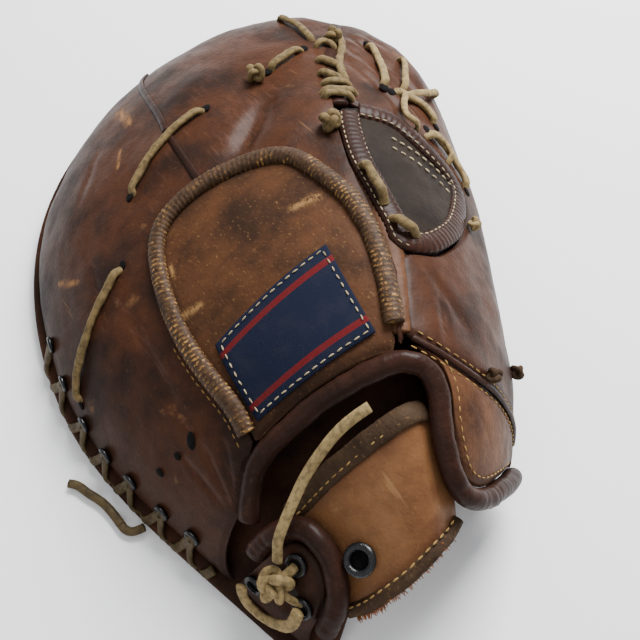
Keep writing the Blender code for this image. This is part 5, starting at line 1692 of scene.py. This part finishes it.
# %% Tip lacing
TIP_LINE = [(0.665, 0.060), (0.740, 0.046), (0.830, 0.044), (0.920, 0.052), (0.985, 0.056)]
on_back("tip_seam", TIP_LINE, 0.0022, *TIP_ROLL, pinched(27.0), solid=False)
TIP_CROSSINGS = [
    # the rows of each crossing strand: w, t
    [(0.682, -0.040), (0.690, 0.030), (0.696, 0.100), (0.696, 0.170)],
    [(0.668, -0.030), (0.684, 0.060), (0.680, 0.150)],
    [(0.754, -0.040), (0.742, 0.040), (0.725, 0.115)],
    [(0.852, -0.060), (0.878, 0.010), (0.860, 0.095)],
    [(0.935, 0.075), (0.872, 0.120), (0.788, 0.095), (0.719, 0.120)],
    [(0.948, -0.470), (0.934, -0.290), (0.921, -0.185), (0.880, -0.070)],
]
for k, strand_rows in enumerate(TIP_CROSSINGS):
    lace("tip_crossing_%d" % (k + 1), strand_rows, -0.0022, "old_rawhide", 90.0 + k, 0.0019, 0.0013, False)

# %% [markdown]
# The mitt lies on a plain pale floor. A large soft light stands high at the upper right,
# and a pale world fills the shadows, as in a room with one window.

# %% Floor and light
FLOOR_SIZE = 6.0
FLOOR_COLOUR = (0.95, 0.95, 0.955, 1.0)
FLOOR_ROUGHNESS = 0.7
KEY_PLACE = Vector((0.75, 0.35, 0.95))
KEY_SIZE = 0.70
KEY_POWER = 45.0
FILL_PLACE = Vector((-0.9, -0.5, 1.1))
FILL_SIZE = 1.2
FILL_POWER = 4.0
WORLD_STRENGTH = 0.64
WORLD_COLOUR = (0.95, 0.97, 1.0, 1.0)


def area_light(name, place, size, power):
    """A square area light that looks at the mitt."""
    data = bpy.data.lights.new(name, "AREA")
    data.size = size
    data.energy = power
    light = bpy.data.objects.new(name, data)
    light.location = place
    light.rotation_euler = (LOOK_AT - place).to_track_quat("-Z", "Y").to_euler()
    bpy.context.scene.collection.objects.link(light)
    return light


def make_floor():
    """A plain pale floor under the mitt."""
    bm = bmesh.new()
    bmesh.ops.create_grid(bm, x_segments=1, y_segments=1, size=FLOOR_SIZE / 2.0)
    mesh = bpy.data.meshes.new("floor")
    bm.to_mesh(mesh)
    bm.free()
    paint, tree, shader = new_look("floor_paint")
    shader.inputs["Base Color"].default_value = FLOOR_COLOUR
    shader.inputs["Roughness"].default_value = FLOOR_ROUGHNESS
    mesh.materials.append(paint)
    floor = bpy.data.objects.new("floor", mesh)
    bpy.context.scene.collection.objects.link(floor)
    return floor


make_floor()
area_light("window", KEY_PLACE, KEY_SIZE, KEY_POWER)
area_light("room", FILL_PLACE, FILL_SIZE, FILL_POWER)
world = bpy.data.worlds.new("pale_room")
world.use_nodes = True
background = world.node_tree.nodes["Background"]
background.inputs["Color"].default_value = WORLD_COLOUR
background.inputs["Strength"].default_value = WORLD_STRENGTH
bpy.context.scene.world = world
print("lights: window and room")
